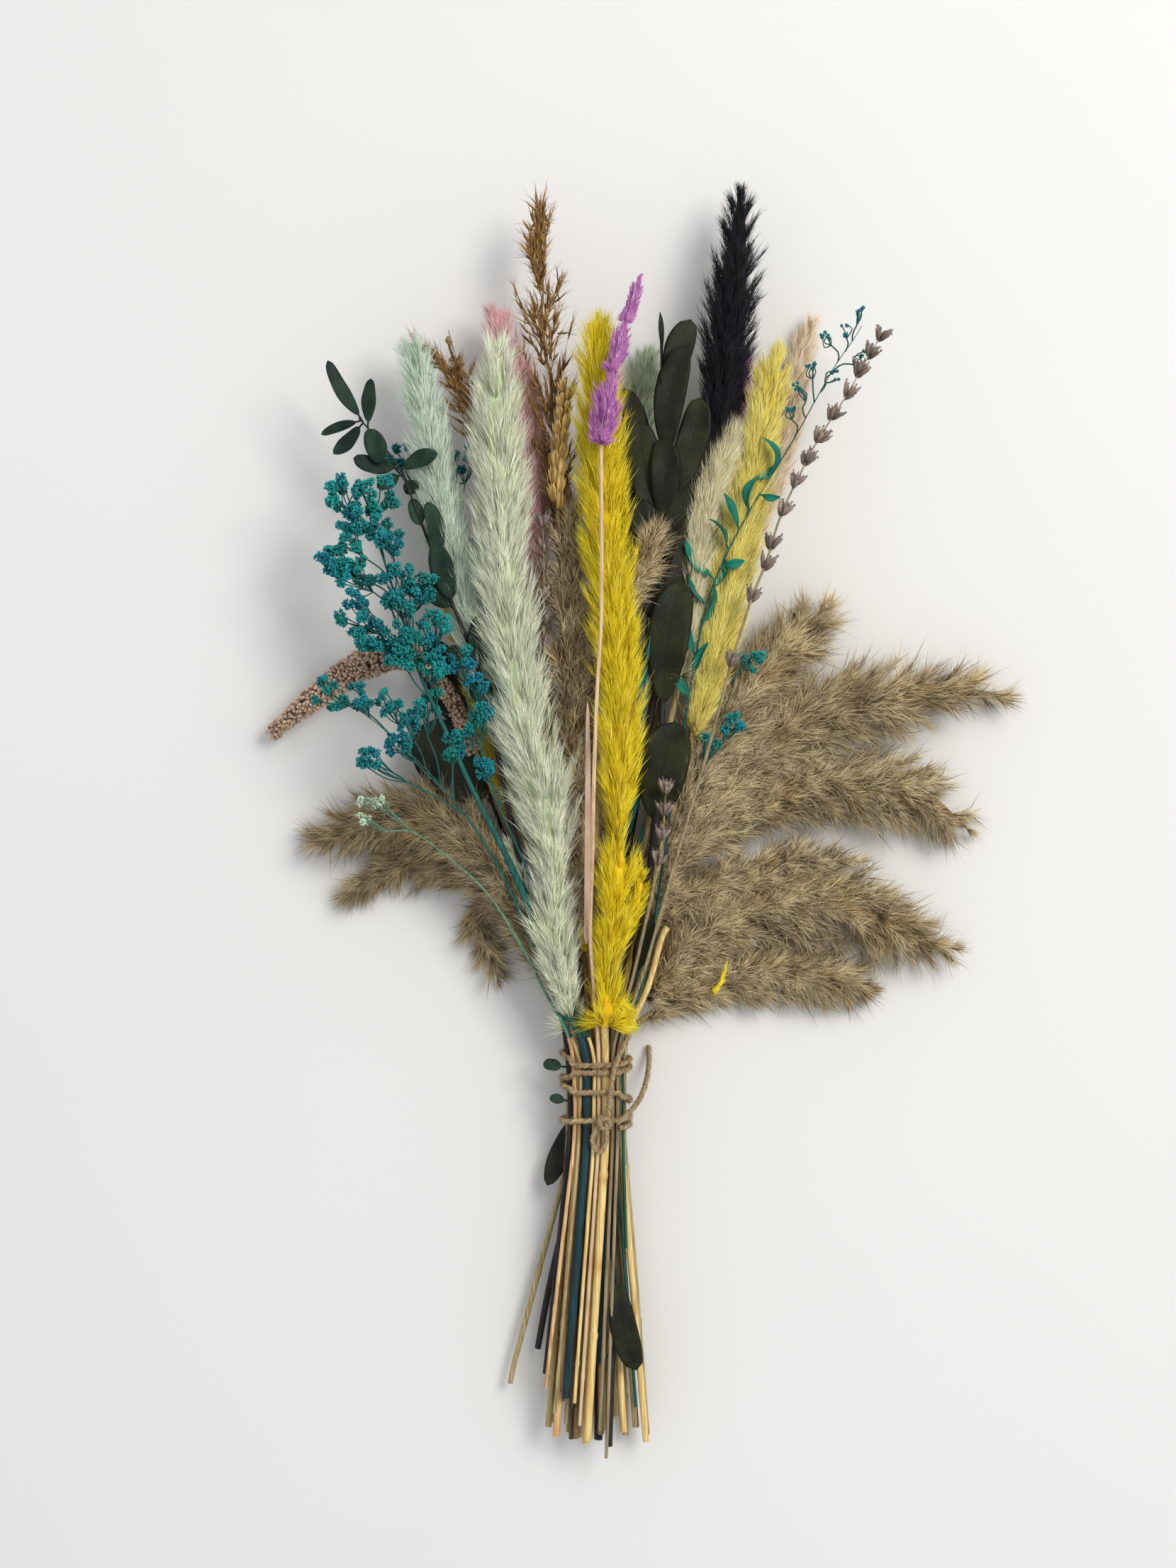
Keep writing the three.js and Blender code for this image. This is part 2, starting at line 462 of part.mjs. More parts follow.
      footY: -133, route: [[-9.5, 30], [-13, 46, 6], [-17, 66, 10.5], [-17, 82, 9], [-16, 94, 6.5],
        [-20, 118, 13], [-27, 142, 12], [-31, 168, 12], [-35, 190, 12.5], [-37, 215, 12],
        [-37, 244, 11.5], [-38, 272, 9.5], [-39, 288, 7], [-39, 300, 0]] },
    { name: "lavender_left", stalk: "wiry", gives: SPIKE, thick: 7, colour: 0x9a846f, whorled: true,
      footX: -12, footY: -128, route: [[-9, 50], [-14, 110], [-19, 152], [-20, 167, 2.6],
        [-20.5, 179, 2.8], [-20.5, 190, 2.8], [-20.5, 200, 3], [-20.5, 209, 3], [-20.5, 218, 3],
        [-21, 228, 3.4]] },
    { name: "wheat_ear", stalk: "grass", gives: SPIKE, thick: 8, colour: 0xc09a5c, footX: -8,
      footY: -134, route: [[-5, 60], [-10, 150], [-13, 200], [-15, 232], [-16, 238, 3.6],
        [-15, 250, 4.4], [-14, 263, 4.2], [-12.5, 275, 3], [-11.5, 286, 0]] },
    { name: "straw_stalk", stalk: "straw", gives: FIRM, colour: 0xd3bd84, footX: -4, footY: -136,
      route: [[-1, 60], [0, 115], [1, 150]] },
    { name: "teal_reed", stalk: "cane", gives: FIRM, colour: 0x14555e, footX: 1.2, footY: -104,
      route: [[5, 50], [11, 100], [17, 158, 1.2], [20, 190, 0.9], [21, 208, 0.6]],
      leaves: [[60, 16, 112, 4.5, 1, 20, 0.05], [104, 21, 146, 5, 1, -15, 0.05],
        [130, 13, 176, 4, 1, 10, 0.05]] },
    { name: "eucalyptus_large", stalk: "woody", gives: FIRM, colour: 0x33352a, footX: 5, footY: -137,
      route: [[15, 52], [23, 108], [26, 160, 1.4], [26, 205, 1.2], [25, 235, 1.0], [27, 262, 0.8],
        [26, 288, 0.6]],
      leaves: [[262, 37, 309, 11.5, -2, 10, 0.35], [238, 34, 298, 12.5, 4, 0, 0.3],
        [228, 41, 278, 12.5, 1, 0, 0.22], [222, 17, 268, 14, 2, 0, 0.15], [240, 11, 282, 9, -2, 10, 0.25],
        [206, 16, 238, 13, 0, 0, 0.15], [212, 35, 246, 12, -3, 0, 0.15], [258, 25, 311, 7, 3, 76, 0.35],
        [200, 30, 232, 6, 3, 50, 0.1], [154, 33, 206, 16.5, 6, 0, 0.08], [108, 31, 151, 19.5, 6, 0, 0.08],
        [50, 22, 73, 8, 6, 0, 0.1], [-66, 16, -106, 11, 2.5, 0, 0.08]] },
    { name: "mist_sprig_right", stalk: "wiry", gives: SPRAY, colour: 0x137a68, footX: 12, footY: -58,
      route: [[20, 55], [30, 120], [38, 170], [43, 196], [49, 212], [56, 226], [64, 240], [71, 251],
        [77, 261], [86, 277, 0.7], [94, 291, 0.6], [101, 301, 0.5], [104, 306, 0.5]],
      leaves: [[206, 35, 222, 4, 2, 30], [212, 58, 214, 3.5, 1, 20], [226, 50, 240, 3.5, 3, 10],
        [240, 72, 239, 3, 2, 40], [246, 65, 262, 4, 3, 20], [188, 46, 204, 4.5, 2, 0],
        [176, 32, 196, 4, 2, 20]],
      twigs: [[196, 80, 221, 6]],
      clusters: [[296, 97, 304, 1, 2.2], [300, 104, 312, 1, 1.6], [288, 105, 294, 1, 2],
        [270, 79, 282, 1, 1.8], [262, 76, 274, 1, 1.6]] },
  ],
  // Row 5 is the front.
  [
    { name: "mist_sprig_pale", stalk: "wiry", gives: SPRAY, colour: 0x9fc0a8, footX: -20, footY: -113,
      route: [[-19, 42], [-31, 66], [-43, 84], [-58, 98, 0.6], [-71, 108, 0.6], [-82, 115, 0.5]],
      clusters: [[112, -91, 121, 0, 2.6], [110, -85, 122, 2, 2.4], [106, -91, 112, 0, 2.4]] },
    { name: "mist_spray_low", stalk: "wiry", gives: SPRAY, colour: 0x1c8a83, footX: -16.5, footY: -123,
      route: [[-17, 42], [-28, 72], [-41, 99], [-53, 117], [-69, 135, 0.7], [-84, 149, 0.6],
        [-96, 158, 0.5]],
      clusters: [[152, -104, 162, 1, 5.5], [146, -94, 160, 2, 4.4], [138, -82, 158, 2, 4.4],
        [126, -65, 158, 2, 4.4], [124, -77, 142, 2, 4], [114, -88, 136, 0, 4]] },
    { name: "mist_spray_main", stalk: "woody", gives: SPRAY, colour: 0x178783, footX: -12, footY: -117,
      route: [[-14, 40], [-23, 70], [-35, 98, 1.3], [-47, 122, 1.1], [-58, 146, 1.0], [-68, 168, 0.9],
        [-75, 190, 0.8], [-82, 212, 0.7], [-88, 230, 0.6]],
      clusters: [[222, -99, 238, 1, 5.4], [216, -85, 239, 3, 6.2], [204, -96, 221, 1, 5],
        [200, -80, 223, 3, 5.6], [190, -93, 207, 2, 5.2], [184, -76, 206, 3, 5.6],
        [176, -93, 192, 2, 5.6], [168, -77, 191, 4, 6.2], [160, -62, 190, 2, 4.8],
        [160, -80, 178, 3, 4.4]] },
    { name: "mist_spray_middle", stalk: "wiry", gives: SPRAY, colour: 0x1c8a83, footX: -8.6, footY: -119,
      route: [[-11, 44], [-19, 74], [-29, 98], [-38, 118, 0.7], [-44, 136, 0.6], [-49, 156, 0.6]],
      clusters: [[146, -54, 176, 2, 5], [134, -45, 153, 2, 3.6], [128, -53, 148, 1, 3.4],
        [116, -44, 134, 1, 2.6]] },
    { name: "purple_tail_grass", stalk: "wiry", gives: SPIKE, thick: 10, colour: 0xa653ab, over: 17,
      footX: -6.5, footY: -128, route: [[-2.5, 66], [-1.5, 98], [-1, 128], [0, 158], [2, 190], [2, 222],
        [1.8, 258], [2, 263, 5], [3, 270, 6.5], [5, 280, 5.4], [6.5, 287, 2.4], [8, 292, 4.6],
        [10, 299, 4.2], [11.5, 304, 2], [13, 308, 3.4], [15, 315, 3], [17, 322, 0]] },
    { name: "yellow_plume_front", stalk: "straw", gives: PLUME, thick: 12, colour: 0xf0d414, footX: -3.4,
      footY: -134, route: [[3, 34, 7], [4.5, 41, 6], [4, 50, 4], [5, 60, 6], [7, 72, 7.5], [8, 88, 8.5],
        [8, 98, 6.5], [7.5, 107, 2.2], [8.5, 118, 6], [9, 132, 8.5], [9, 158, 9.5], [7, 187, 10.5],
        [4, 217, 10.5], [2, 247, 10], [1, 274, 9.5], [0, 293, 8], [-1, 306, 0]] },
    { name: "lavender_middle", stalk: "wiry", gives: SPIKE, thick: 7, colour: 0x7b6f72, whorled: true,
      footX: 1.5, footY: -130, route: [[15, 52], [22, 84], [24.5, 97, 3], [26, 106, 3.2],
        [26.5, 115, 3.2], [27, 124, 2.6]] },
    { name: "lavender_right", stalk: "wiry", gives: SPIKE, thick: 7, colour: 0x84716a, whorled: true,
      footX: 4, footY: -141, route: [[20, 56], [31, 97], [43, 138], [52, 172, 4], [60, 198, 3.2],
        [65, 210, 4], [68, 219, 3], [71, 232, 3.4], [77, 242, 3.6], [81, 251, 3], [86, 260, 2.4],
        [91, 268, 2.8], [97, 277, 2.8], [102, 286, 2], [106, 293, 2.4], [110, 300, 2.4]] },
  ],
];

// ---------------------------------------------------------------- laying the bouquet
// Stalks stand side by side in the tie, each row centred over the one below it.
function slotsOf(stalks) {
  const radii = stalks.map((stalk) => STALK_RADIUS[stalk.stalk]);
  const width = radii.reduce((sum, r) => sum + 2 * r + CLEARANCE, -CLEARANCE);
  let x = -width / 2;
  return radii.map((r) => {
    x += r;
    const slot = x;
    x += r + CLEARANCE;
    return slot;
  });
}

// Cut ends lie where they are drawn, or beside the one on their left where that is too close.
function footPlaces(stalks) {
  const places = [];
  stalks.forEach((stalk, i) => {
    const drawn = acrossFeet(stalk.footX);
    const left = stalks[i - 1];
    const beside = left
      ? places[i - 1] + STALK_RADIUS[left.stalk] + STALK_RADIUS[stalk.stalk] + CLEARANCE
      : drawn;
    places.push(Math.max(drawn, beside));
  });
  return places;
}

const pieces = [];
const tieSlots = [];
ROWS.forEach((stalks, row) => {
  const slots = slotsOf(stalks);
  const feet = footPlaces(stalks);
  stalks.forEach((stalk, i) => {
    tieSlots.push({ x: slots[i], z: rowHeight(row, 0), r: STALK_RADIUS[stalk.stalk] });
    const grow = (extra) => growStalk(stalk, row, slots[i], feet[i], extra);
    pieces.push({ ...stalk, row, solid: grow(0), grown: () => grow(CLEARANCE) });
  });
});

const TWINE_COLOUR = 0x9c8561;
const twine = [
  { name: "twine_tie", solid: twineTie(tieSlots) },
  { name: "twine_tail", solid: solidOf(tube(strandPoints(TAIL_ROUTE), 8, 12)) },
];
for (const strand of twine) {
  pieces.push({ ...strand, colour: TWINE_COLOUR, gives: FIRM, row: ROWS.length });
}

const largest = (solid) => solid.decompose().reduce((a, b) => (b.volume() > a.volume() ? b : a));

const near = (a, b) => {
  const [p, q] = [a.solid.boundingBox(), b.solid.boundingBox()];
  return [0, 1, 2].every((k) => p.min[k] < q.max[k] + CLEARANCE && q.min[k] < p.max[k] + CLEARANCE);
};

// A soft head is hollowed by what presses into it.
function makeRoom(soft, firm) {
  firm.room ??= firm.grown ? firm.grown() : firm.solid;
  if (soft.solid.intersect(firm.room).isEmpty()) return;
  soft.solid = largest(soft.solid.subtract(firm.room));
}

pieces.forEach((a, i) => {
  for (const b of pieces.slice(i + 1).filter((other) => near(a, other))) {
    if (a.gives >= b.gives && a.gives !== FIRM) makeRoom(a, b);
    else if (b.gives !== FIRM) makeRoom(b, a);
  }
});

// What lies on the surface is flat underneath.
const [wide, deep] = [4 * SIDE_REACH, 2 * (TOP_REACH + FOOT_REACH)];
const surface = solidOf(new THREE.BoxGeometry(wide, deep, wide).translate(0, 0, -wide / 2));
for (const piece of pieces) {
  if (piece.solid.boundingBox().min[2] < 0) piece.solid = largest(piece.solid.subtract(surface));
}

function geometryOf(solid) {
  const mesh = solid.getMesh();
  return new THREE.BufferGeometry()
    .setAttribute("position", new THREE.BufferAttribute(new Float32Array(mesh.vertProperties), 3))
    .setIndex(new THREE.BufferAttribute(new Uint32Array(mesh.triVerts), 1));
}

const bouquet = new THREE.Group();
for (const piece of pieces) {
  const material = new THREE.MeshStandardMaterial({
    color: piece.colour,
    roughness: piece.gives === FIRM ? 0.75 : 0.95,
    metalness: 0,
  });
  const mesh = new THREE.Mesh(geometryOf(piece.solid), material);
  mesh.name = piece.name;
  bouquet.add(mesh);
}

// The origin is the middle of the bouquet's footprint, on the surface. A tail of twine isn't counted.
const box = new THREE.Box3();
for (const mesh of bouquet.children) {
  if (mesh.name !== "twine_tail") box.expandByObject(mesh);
}
const middle = box.getCenter(new THREE.Vector3());
bouquet.position.set(-middle.x, -middle.y, -box.min.z);

export default bouquet;
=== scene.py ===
import math

import bpy
import numpy as np
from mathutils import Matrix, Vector


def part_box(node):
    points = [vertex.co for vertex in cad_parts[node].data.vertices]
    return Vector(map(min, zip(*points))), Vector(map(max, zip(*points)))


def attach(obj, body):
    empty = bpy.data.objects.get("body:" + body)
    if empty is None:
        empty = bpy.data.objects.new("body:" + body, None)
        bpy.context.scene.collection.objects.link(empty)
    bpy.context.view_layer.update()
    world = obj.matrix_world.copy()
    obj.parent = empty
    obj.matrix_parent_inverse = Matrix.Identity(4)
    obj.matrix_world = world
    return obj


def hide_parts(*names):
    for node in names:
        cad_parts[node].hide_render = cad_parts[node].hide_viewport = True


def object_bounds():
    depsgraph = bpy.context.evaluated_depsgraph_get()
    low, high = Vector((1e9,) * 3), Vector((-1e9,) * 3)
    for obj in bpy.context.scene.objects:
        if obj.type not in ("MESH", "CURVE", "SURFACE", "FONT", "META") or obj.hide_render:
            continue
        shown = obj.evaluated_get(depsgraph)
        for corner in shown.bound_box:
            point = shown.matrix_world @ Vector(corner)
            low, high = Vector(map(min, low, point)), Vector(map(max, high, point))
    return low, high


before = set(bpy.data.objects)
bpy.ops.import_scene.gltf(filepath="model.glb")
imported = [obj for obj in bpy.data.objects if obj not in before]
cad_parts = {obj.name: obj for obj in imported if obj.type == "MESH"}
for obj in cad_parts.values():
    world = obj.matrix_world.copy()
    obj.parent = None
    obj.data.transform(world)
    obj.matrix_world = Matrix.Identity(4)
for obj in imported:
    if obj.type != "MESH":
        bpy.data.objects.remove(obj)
cad_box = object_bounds()

# ------------------------------------------------------------------ the place it lies in
# A sheet of off-white paper on a table, lit by one wide soft window from the upper right and by the
# pale room. The camera looks straight down on the bunch, a little to the left of its middle.
MM = 0.001
TIP_REACH = 361 * MM  # tie to the highest tip
SIDE_REACH = 168 * MM  # tie to the widest tip on the right
tie_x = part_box("reed_plume_right_second")[1][0] - SIDE_REACH
tie_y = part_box("black_plume")[1][1] - TIP_REACH
VIEW_CENTRE = (-3.2, 126.6)  # from the tie, in mm
VIEW_LONG_SIDE = 0.633
LENS, SENSOR = 70.0, 36.0


def place(x, y, z=0.0):
    """A point given in mm from the tie and over the paper, as row-frame metres."""
    return np.array([tie_x + x * MM, tie_y + y * MM, z * MM])


def ink(code):
    """A colour as shader numbers, from its usual six-figure code."""
    parts = [int(code[i : i + 2], 16) / 255 for i in (0, 2, 4)]
    linear = [c / 12.92 if c <= 0.04045 else ((c + 0.055) / 1.055) ** 2.4 for c in parts]
    return (*linear, 1.0)


def add(tree, kind, inputs=None, **settings):
    """One shader node with its settings and its inputs, each a value or another node's output."""
    made = tree.nodes.new("ShaderNode" + kind)
    for key, value in settings.items():
        setattr(made, key, value)
    for key, value in (inputs or {}).items():
        if isinstance(value, bpy.types.NodeSocket):
            tree.links.new(value, made.inputs[key])
        else:
            made.inputs[key].default_value = value
    return made


def blend(tree, share, first, second):
    """first and second colours mixed."""
    return add(tree, "Mix", {0: share, 6: first, 7: second}, data_type="RGBA").outputs[2]


def noise(tree, where, scale, detail):
    """Soft random patches, scale of them to a metre."""
    return add(tree, "TexNoise", {"Vector": where, "Scale": scale, "Detail": detail}).outputs["Fac"]


def new_material(name, **constants):
    """A material with a Principled surface whose steady values are set on its own sockets."""
    material = bpy.data.materials.new(name)
    material.use_nodes = True
    surface = material.node_tree.nodes["Principled BSDF"]
    for key, value in constants.items():
        surface.inputs[key.replace("_", " ")].default_value = value
    return material, material.node_tree, surface


def lay_on(tree, surface, colour, height, strength, depth, rough=None):
    """A colour and a relief of that depth laid on a surface, and how rough it is where that varies."""
    tree.links.new(colour, surface.inputs["Base Color"])
    if rough:
        tree.links.new(rough, surface.inputs["Roughness"])
    if strength:
        relief = add(tree, "Bump", {"Height": height, "Strength": strength, "Distance": depth})
        tree.links.new(relief.outputs["Normal"], surface.inputs["Normal"])


paper, tree, surface = new_material("off_white_paper", Roughness=0.9)
where = add(tree, "TexCoord").outputs["Object"]
tone = blend(tree, noise(tree, where, 2.3, 3.0), ink("E2E0DC"), ink("EAE8E5"))
lay_on(tree, surface, tone, noise(tree, where, 900.0, 2.0), 0.06, 0.0002)
bpy.ops.mesh.primitive_plane_add(size=6.0, location=(0, 0, -0.0004))
sheet = bpy.context.object
sheet.name = "paper_sheet"
sheet.data.materials.append(paper)

window = bpy.data.lights.new("window", "AREA")
window.shape = "RECTANGLE"
window.size, window.size_y, window.energy = 1.1, 0.8, 29.0
window.color = (1.0, 0.975, 0.94)
lamp = bpy.data.objects.new("window", window)
lamp.location = (0.95, 0.75, 1.75)
lamp.rotation_euler = (Vector((0, 0.03, 0)) - lamp.location).to_track_quat("-Z", "Y").to_euler()
bpy.context.scene.collection.objects.link(lamp)

world = bpy.data.worlds.new("pale_room")
world.use_nodes = True
world.node_tree.nodes["Background"].inputs["Color"].default_value = (0.93, 0.96, 1.0, 1.0)
world.node_tree.nodes["Background"].inputs["Strength"].default_value = 0.66
bpy.context.scene.world = world
bpy.context.scene.view_settings.view_transform = "Standard"

camera = bpy.data.cameras.new("camera")
camera.lens, camera.sensor_width, camera.sensor_fit = LENS, SENSOR, "AUTO"
camera.clip_start, camera.clip_end = 0.05, 20.0
viewer = bpy.data.objects.new("camera", camera)
viewer.location = (*place(*VIEW_CENTRE)[:2], VIEW_LONG_SIDE * LENS / SENSOR)
bpy.context.scene.collection.objects.link(viewer)
bpy.context.scene.camera = viewer

# ------------------------------------------------------------------ the twine's loose tail
# Natural jute, three plies laid together, about 2 mm thick. The tail comes out of the knot on the
# right, droops over the bundle's edge and ends on the paper, cut off bare.
TWINE_DIAMETER = 2.1 * MM
PLY_PITCH = 5.5 * MM
HAIR_CLEARANCE = 0.2 * MM  # of any hair over the paper
KNOT = (3.2, -7.0)  # from the tie, in mm
TAIL_ROUTE = [
    (4.9, 0, 2), (7.7, 2, 1.8), (11, 5.2, 0.2), (14.4, 9.4, -5), (16.5, 14, -11.5),
    (17.7, 18.8, -17.5), (18.1, 23.4, -22), (18, 28, None),
]  # from the knot, with heights from the turns on top of the bundle; the last point lies down


class Gather:
    """Gathers the parts of one piece: points, triangles and tints."""

    def __init__(self):
        self.points, self.faces, self.tints, self.count = [], [], [], 0

    def add(self, points, faces, tints):
        """tints are each point's (share along its strand, strand's chance, tuft's chance)."""
        points = np.asarray(points, float).reshape(-1, 3)
        faces = np.asarray(faces, int).reshape(-1, 3)
        self.points.append(points)
        self.faces.append(faces + self.count)
        self.tints.append(np.broadcast_to(tints, (len(points), 3)))
        self.count += len(points)

    def finish(self, name, node, finish):
        """The piece as a mesh on the body. finish is its material and the name of a slot, which is not used.
        """
        material, slot = finish
        points, faces = np.concatenate(self.points), np.concatenate(self.faces)
        tints = np.concatenate(self.tints)
        mesh = bpy.data.meshes.new(name)
        mesh.vertices.add(len(points))
        mesh.vertices.foreach_set("co", points.astype(np.float32).ravel())
        mesh.loops.add(faces.size)
        mesh.loops.foreach_set("vertex_index", faces.astype(np.int32).ravel())
        mesh.polygons.add(len(faces))
        mesh.polygons.foreach_set("loop_start", np.arange(0, faces.size, 3, dtype=np.int32))
        mesh.polygons.foreach_set("use_smooth", np.ones(len(faces), bool))
        mesh.update(calc_edges=True)
        layer = mesh.color_attributes.new("tint", "FLOAT_COLOR", "POINT")
        rgba = np.concatenate([tints, np.ones((len(points), 1))], axis=1)
        layer.data.foreach_set("color", rgba.astype(np.float32).ravel())
        mesh.materials.append(material)
        piece = bpy.data.objects.new(name, mesh)
        bpy.context.scene.collection.objects.link(piece)
        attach(piece, "root")
        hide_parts(node)
        return piece


def unit(v):
    return v / np.maximum(np.linalg.norm(v, axis=-1, keepdims=True), 1e-12)


def run_of(line):
    """How far along a line each of its points is."""
    return np.concatenate([[0], np.cumsum(np.linalg.norm(np.diff(line, axis=0), axis=1))])


def heading_of(line):
    return unit(np.gradient(line, axis=0))


def read_off(at, run, values):
    """Rows of values read off between the places in run."""
    return np.stack([np.interp(at, run, column) for column in values.T], axis=-1)


def round_angles(count):
    return np.arange(count) * 2 * math.pi / count


def part(t, start, end, first, last):
    """Where t is between first, at start, and last, at end."""
    return (end - t) / (end - start) * first + (t - start) / (end - start) * last


def smooth_line(points, step):
    """Points at even steps along a smooth curve through the given ones."""
    points = np.asarray(points, float)
    knots = np.concatenate([[0], np.cumsum(np.linalg.norm(np.diff(points, axis=0), axis=1) ** 0.5)])
    ends = np.array([2 * points[0] - points[1], *points, 2 * points[-1] - points[-2]])
    times = np.concatenate([[2 * knots[0] - knots[1]], knots, [2 * knots[-1] - knots[-2]]])
    fine = []
    for i in range(1, len(ends) - 2):
        t0, t1, t2, t3 = times[i - 1 : i + 3]
        p0, p1, p2, p3 = ends[i - 1 : i + 3]
        for t in np.linspace(t1, t2, 24, endpoint=False):
            a1, a2, a3 = (part(t, t0, t1, p0, p1), part(t, t1, t2, p1, p2), part(t, t2, t3, p2, p3))
            fine.append(part(t, t1, t2, part(t, t0, t2, a1, a2), part(t, t1, t3, a2, a3)))
    fine = np.array([*fine, points[-1]])
    run = run_of(fine)
    return read_off(np.linspace(0, run[-1], max(3, round(run[-1] / step) + 1)), run, fine)


def carried_frames(line):
    """Tangent, side and top at each point of a line, carried along it without twisting."""
    tangent = heading_of(line)
    up = np.array([0.0, 0.0, 1.0]) if abs(tangent[0, 2]) < 0.9 else np.array([0.0, 1.0, 0.0])
    side = [unit(np.cross(tangent[0], up))]
    for t in tangent[1:]:
        side.append(unit(side[-1] - t * (side[-1] @ t)))
    side = np.array(side)
    return tangent, side, np.cross(side, tangent)


def tube(gather, line, radius, sides, tints, frames=None):
    """A closed round tube. radius may change along it, and round it too."""
    _, side, top = frames or carried_frames(line)
    angle = round_angles(sides)
    radius = np.broadcast_to(np.asarray(radius, float).reshape(-1, 1) if np.ndim(radius) == 1
                             else radius, (len(line), sides))
    ring = side[:, None] * np.cos(angle)[None, :, None] + top[:, None] * np.sin(angle)[None, :, None]
    body = line[:, None] + ring * radius[:, :, None]
    k, j = np.meshgrid(np.arange(len(line) - 1), np.arange(sides), indexing="ij")
    a, b = k * sides + j, k * sides + (j + 1) % sides
    walls = np.stack([a, a + sides, b, b, a + sides, b + sides], axis=-1).reshape(-1, 3)
    start, end = len(line) * sides, len(line) * sides + sides + 1
    points = np.concatenate([body.reshape(-1, 3), body[0], line[:1], body[-1], line[-1:]])
    j = np.arange(sides)
    near = np.stack([start + j, start + (j + 1) % sides, np.full(sides, start + sides)], 1)
    far = np.stack([end + (j + 1) % sides, end + j, np.full(sides, end + sides)], 1)
    rings = np.broadcast_to(tints, (len(line), 3)).repeat(sides, axis=0)
    caps = [rings[:sides], rings[:1], rings[-sides:], rings[-1:]]
    gather.add(points, np.concatenate([walls, near, far]), np.concatenate([rings, *caps]))


def strew(gather, layers, shape, chance, tuft):
    """Many small solids of one shape. layers are (a point of each of them, its share along)."""
    count = len(chance)
    faces = (np.arange(count) * len(layers))[:, None, None] + np.array(shape)[None]
    tints = [np.stack([np.full(count, float(share)), chance, np.broadcast_to(tuft, count)], 1)
             for _, share in layers]
    gather.add(np.stack([points for points, _ in layers], axis=1), faces,
               np.stack(tints, axis=1).reshape(-1, 3))


def needles(gather, rng, root, bend, tip, thick, tuft=0.5, odd=False):
    """Closed three-sided hairs, each from root past bend to tip and thickest in between.
    odd ones take the material's odd colour."""
    count = len(root)
    chance = np.where(odd, 1.0, rng.random(count) * 0.9)
    middle = 0.3 * root + 0.5 * bend + 0.2 * tip
    across = unit(np.cross(tip - root, rng.normal(size=(count, 3))))
    over = np.cross(unit(tip - root), across)
    half = np.broadcast_to(thick, count)[:, None] / 2
    ring = [(middle + (across * math.cos(a) + over * math.sin(a)) * half, 0.45)
            for a in (2 * math.pi * k / 3 for k in range(3))]
    shape = [(0, 2, 1), (0, 3, 2), (0, 1, 3), (1, 2, 4), (2, 3, 4), (3, 1, 4)]
    strew(gather, [(root, 0), *ring, (tip, 1)], shape, chance, tuft)


def reckon(tree, operation, *values):
    """A sum done on values that change over the surface."""
    return add(tree, "Math", dict(enumerate(values)), operation=operation).outputs[0]


def stretch(tree, value, low, high):
    """A value that goes from 0 at low to 1 at high."""
    return add(tree, "MapRange", {0: value, 1: low, 2: high}).outputs[0]


def read_tint(tree):
    """The three tints that the mesh carries, and where on the piece a point is."""
    tint = add(tree, "Attribute", attribute_name="tint").outputs["Color"]
    return (*add(tree, "SeparateColor", {0: tint}).outputs[:3], add(tree, "TexCoord").outputs["Object"])


def tint_group(name, colours, amounts):
    """A node group that is given colours and amounts and puts out colour, roughness and height."""
    group = bpy.data.node_groups.new(name, "ShaderNodeTree")
    face = group.interface
    for socket in colours:
        face.new_socket(socket, in_out="INPUT", socket_type="NodeSocketColor")
    for socket, value in amounts.items():
        face.new_socket(socket, in_out="INPUT", socket_type="NodeSocketFloat").default_value = value
    for socket, kind in (("Colour", "Color"), ("Roughness", "Float"), ("Height", "Float")):
        face.new_socket(socket, in_out="OUTPUT", socket_type="NodeSocket" + kind)
    return group, group.nodes.new("NodeGroupInput").outputs


def put_out(group, colour, rough, height):
    """What a tint group puts out."""
    out = group.nodes.new("NodeGroupOutput").inputs
    for socket, value in (("Colour", colour), ("Roughness", rough), ("Height", height)):
        group.links.new(value, out[socket])
    return group


def strand_group():
    """Colours of fine strands: from root to tip, strand to strand, tuft to tuft and in patches."""
    amounts = {"Strands": 0.4, "Tufts": 0.3, "Patches": 0.3, "Patch Scale": 60.0}
    group, given = tint_group("strand_tint", ("Root", "Tip", "Patch", "Odd"), amounts)
    along, strand, tuft, where = read_tint(group)
    cloud = noise(group, where, given["Patch Scale"], 3.0)
    grain = noise(group, where, 1400.0, 2.0)
    colour = blend(group, along, given["Root"], given["Tip"])
    share = reckon(group, "MULTIPLY", stretch(group, cloud, 0.45, 0.68), given["Patches"])
    colour = blend(group, share, colour, given["Patch"])
    colour = blend(group, reckon(group, "GREATER_THAN", strand, 0.95), colour, given["Odd"])
    one = reckon(group, "MULTIPLY", reckon(group, "SUBTRACT", strand, 0.5), given["Strands"])
    two = reckon(group, "MULTIPLY", reckon(group, "SUBTRACT", tuft, 0.5), given["Tufts"])
    light = reckon(group, "ADD", reckon(group, "ADD", one, two), 1.0)
    shifted = reckon(group, "MULTIPLY_ADD", two, 0.03, 0.5)
    colour = add(group, "HueSaturation", {"Hue": shifted, "Value": light, "Color": colour})
    rough = reckon(group, "MULTIPLY_ADD", grain, 0.3, 0.65)
    return put_out(group, colour.outputs[0], rough, grain)


STRAND_TINT = strand_group()


def tinted(made, group, bump, depth, values):
    """A new material coloured by a tint group with values of its own."""
    material, tree, surface = made
    tint = add(tree, "Group", {key.replace("_", " "): value for key, value in values.items()},
               node_tree=group)
    colour, rough, height = tint.outputs
    lay_on(tree, surface, colour, height, bump, depth, rough)
    return material


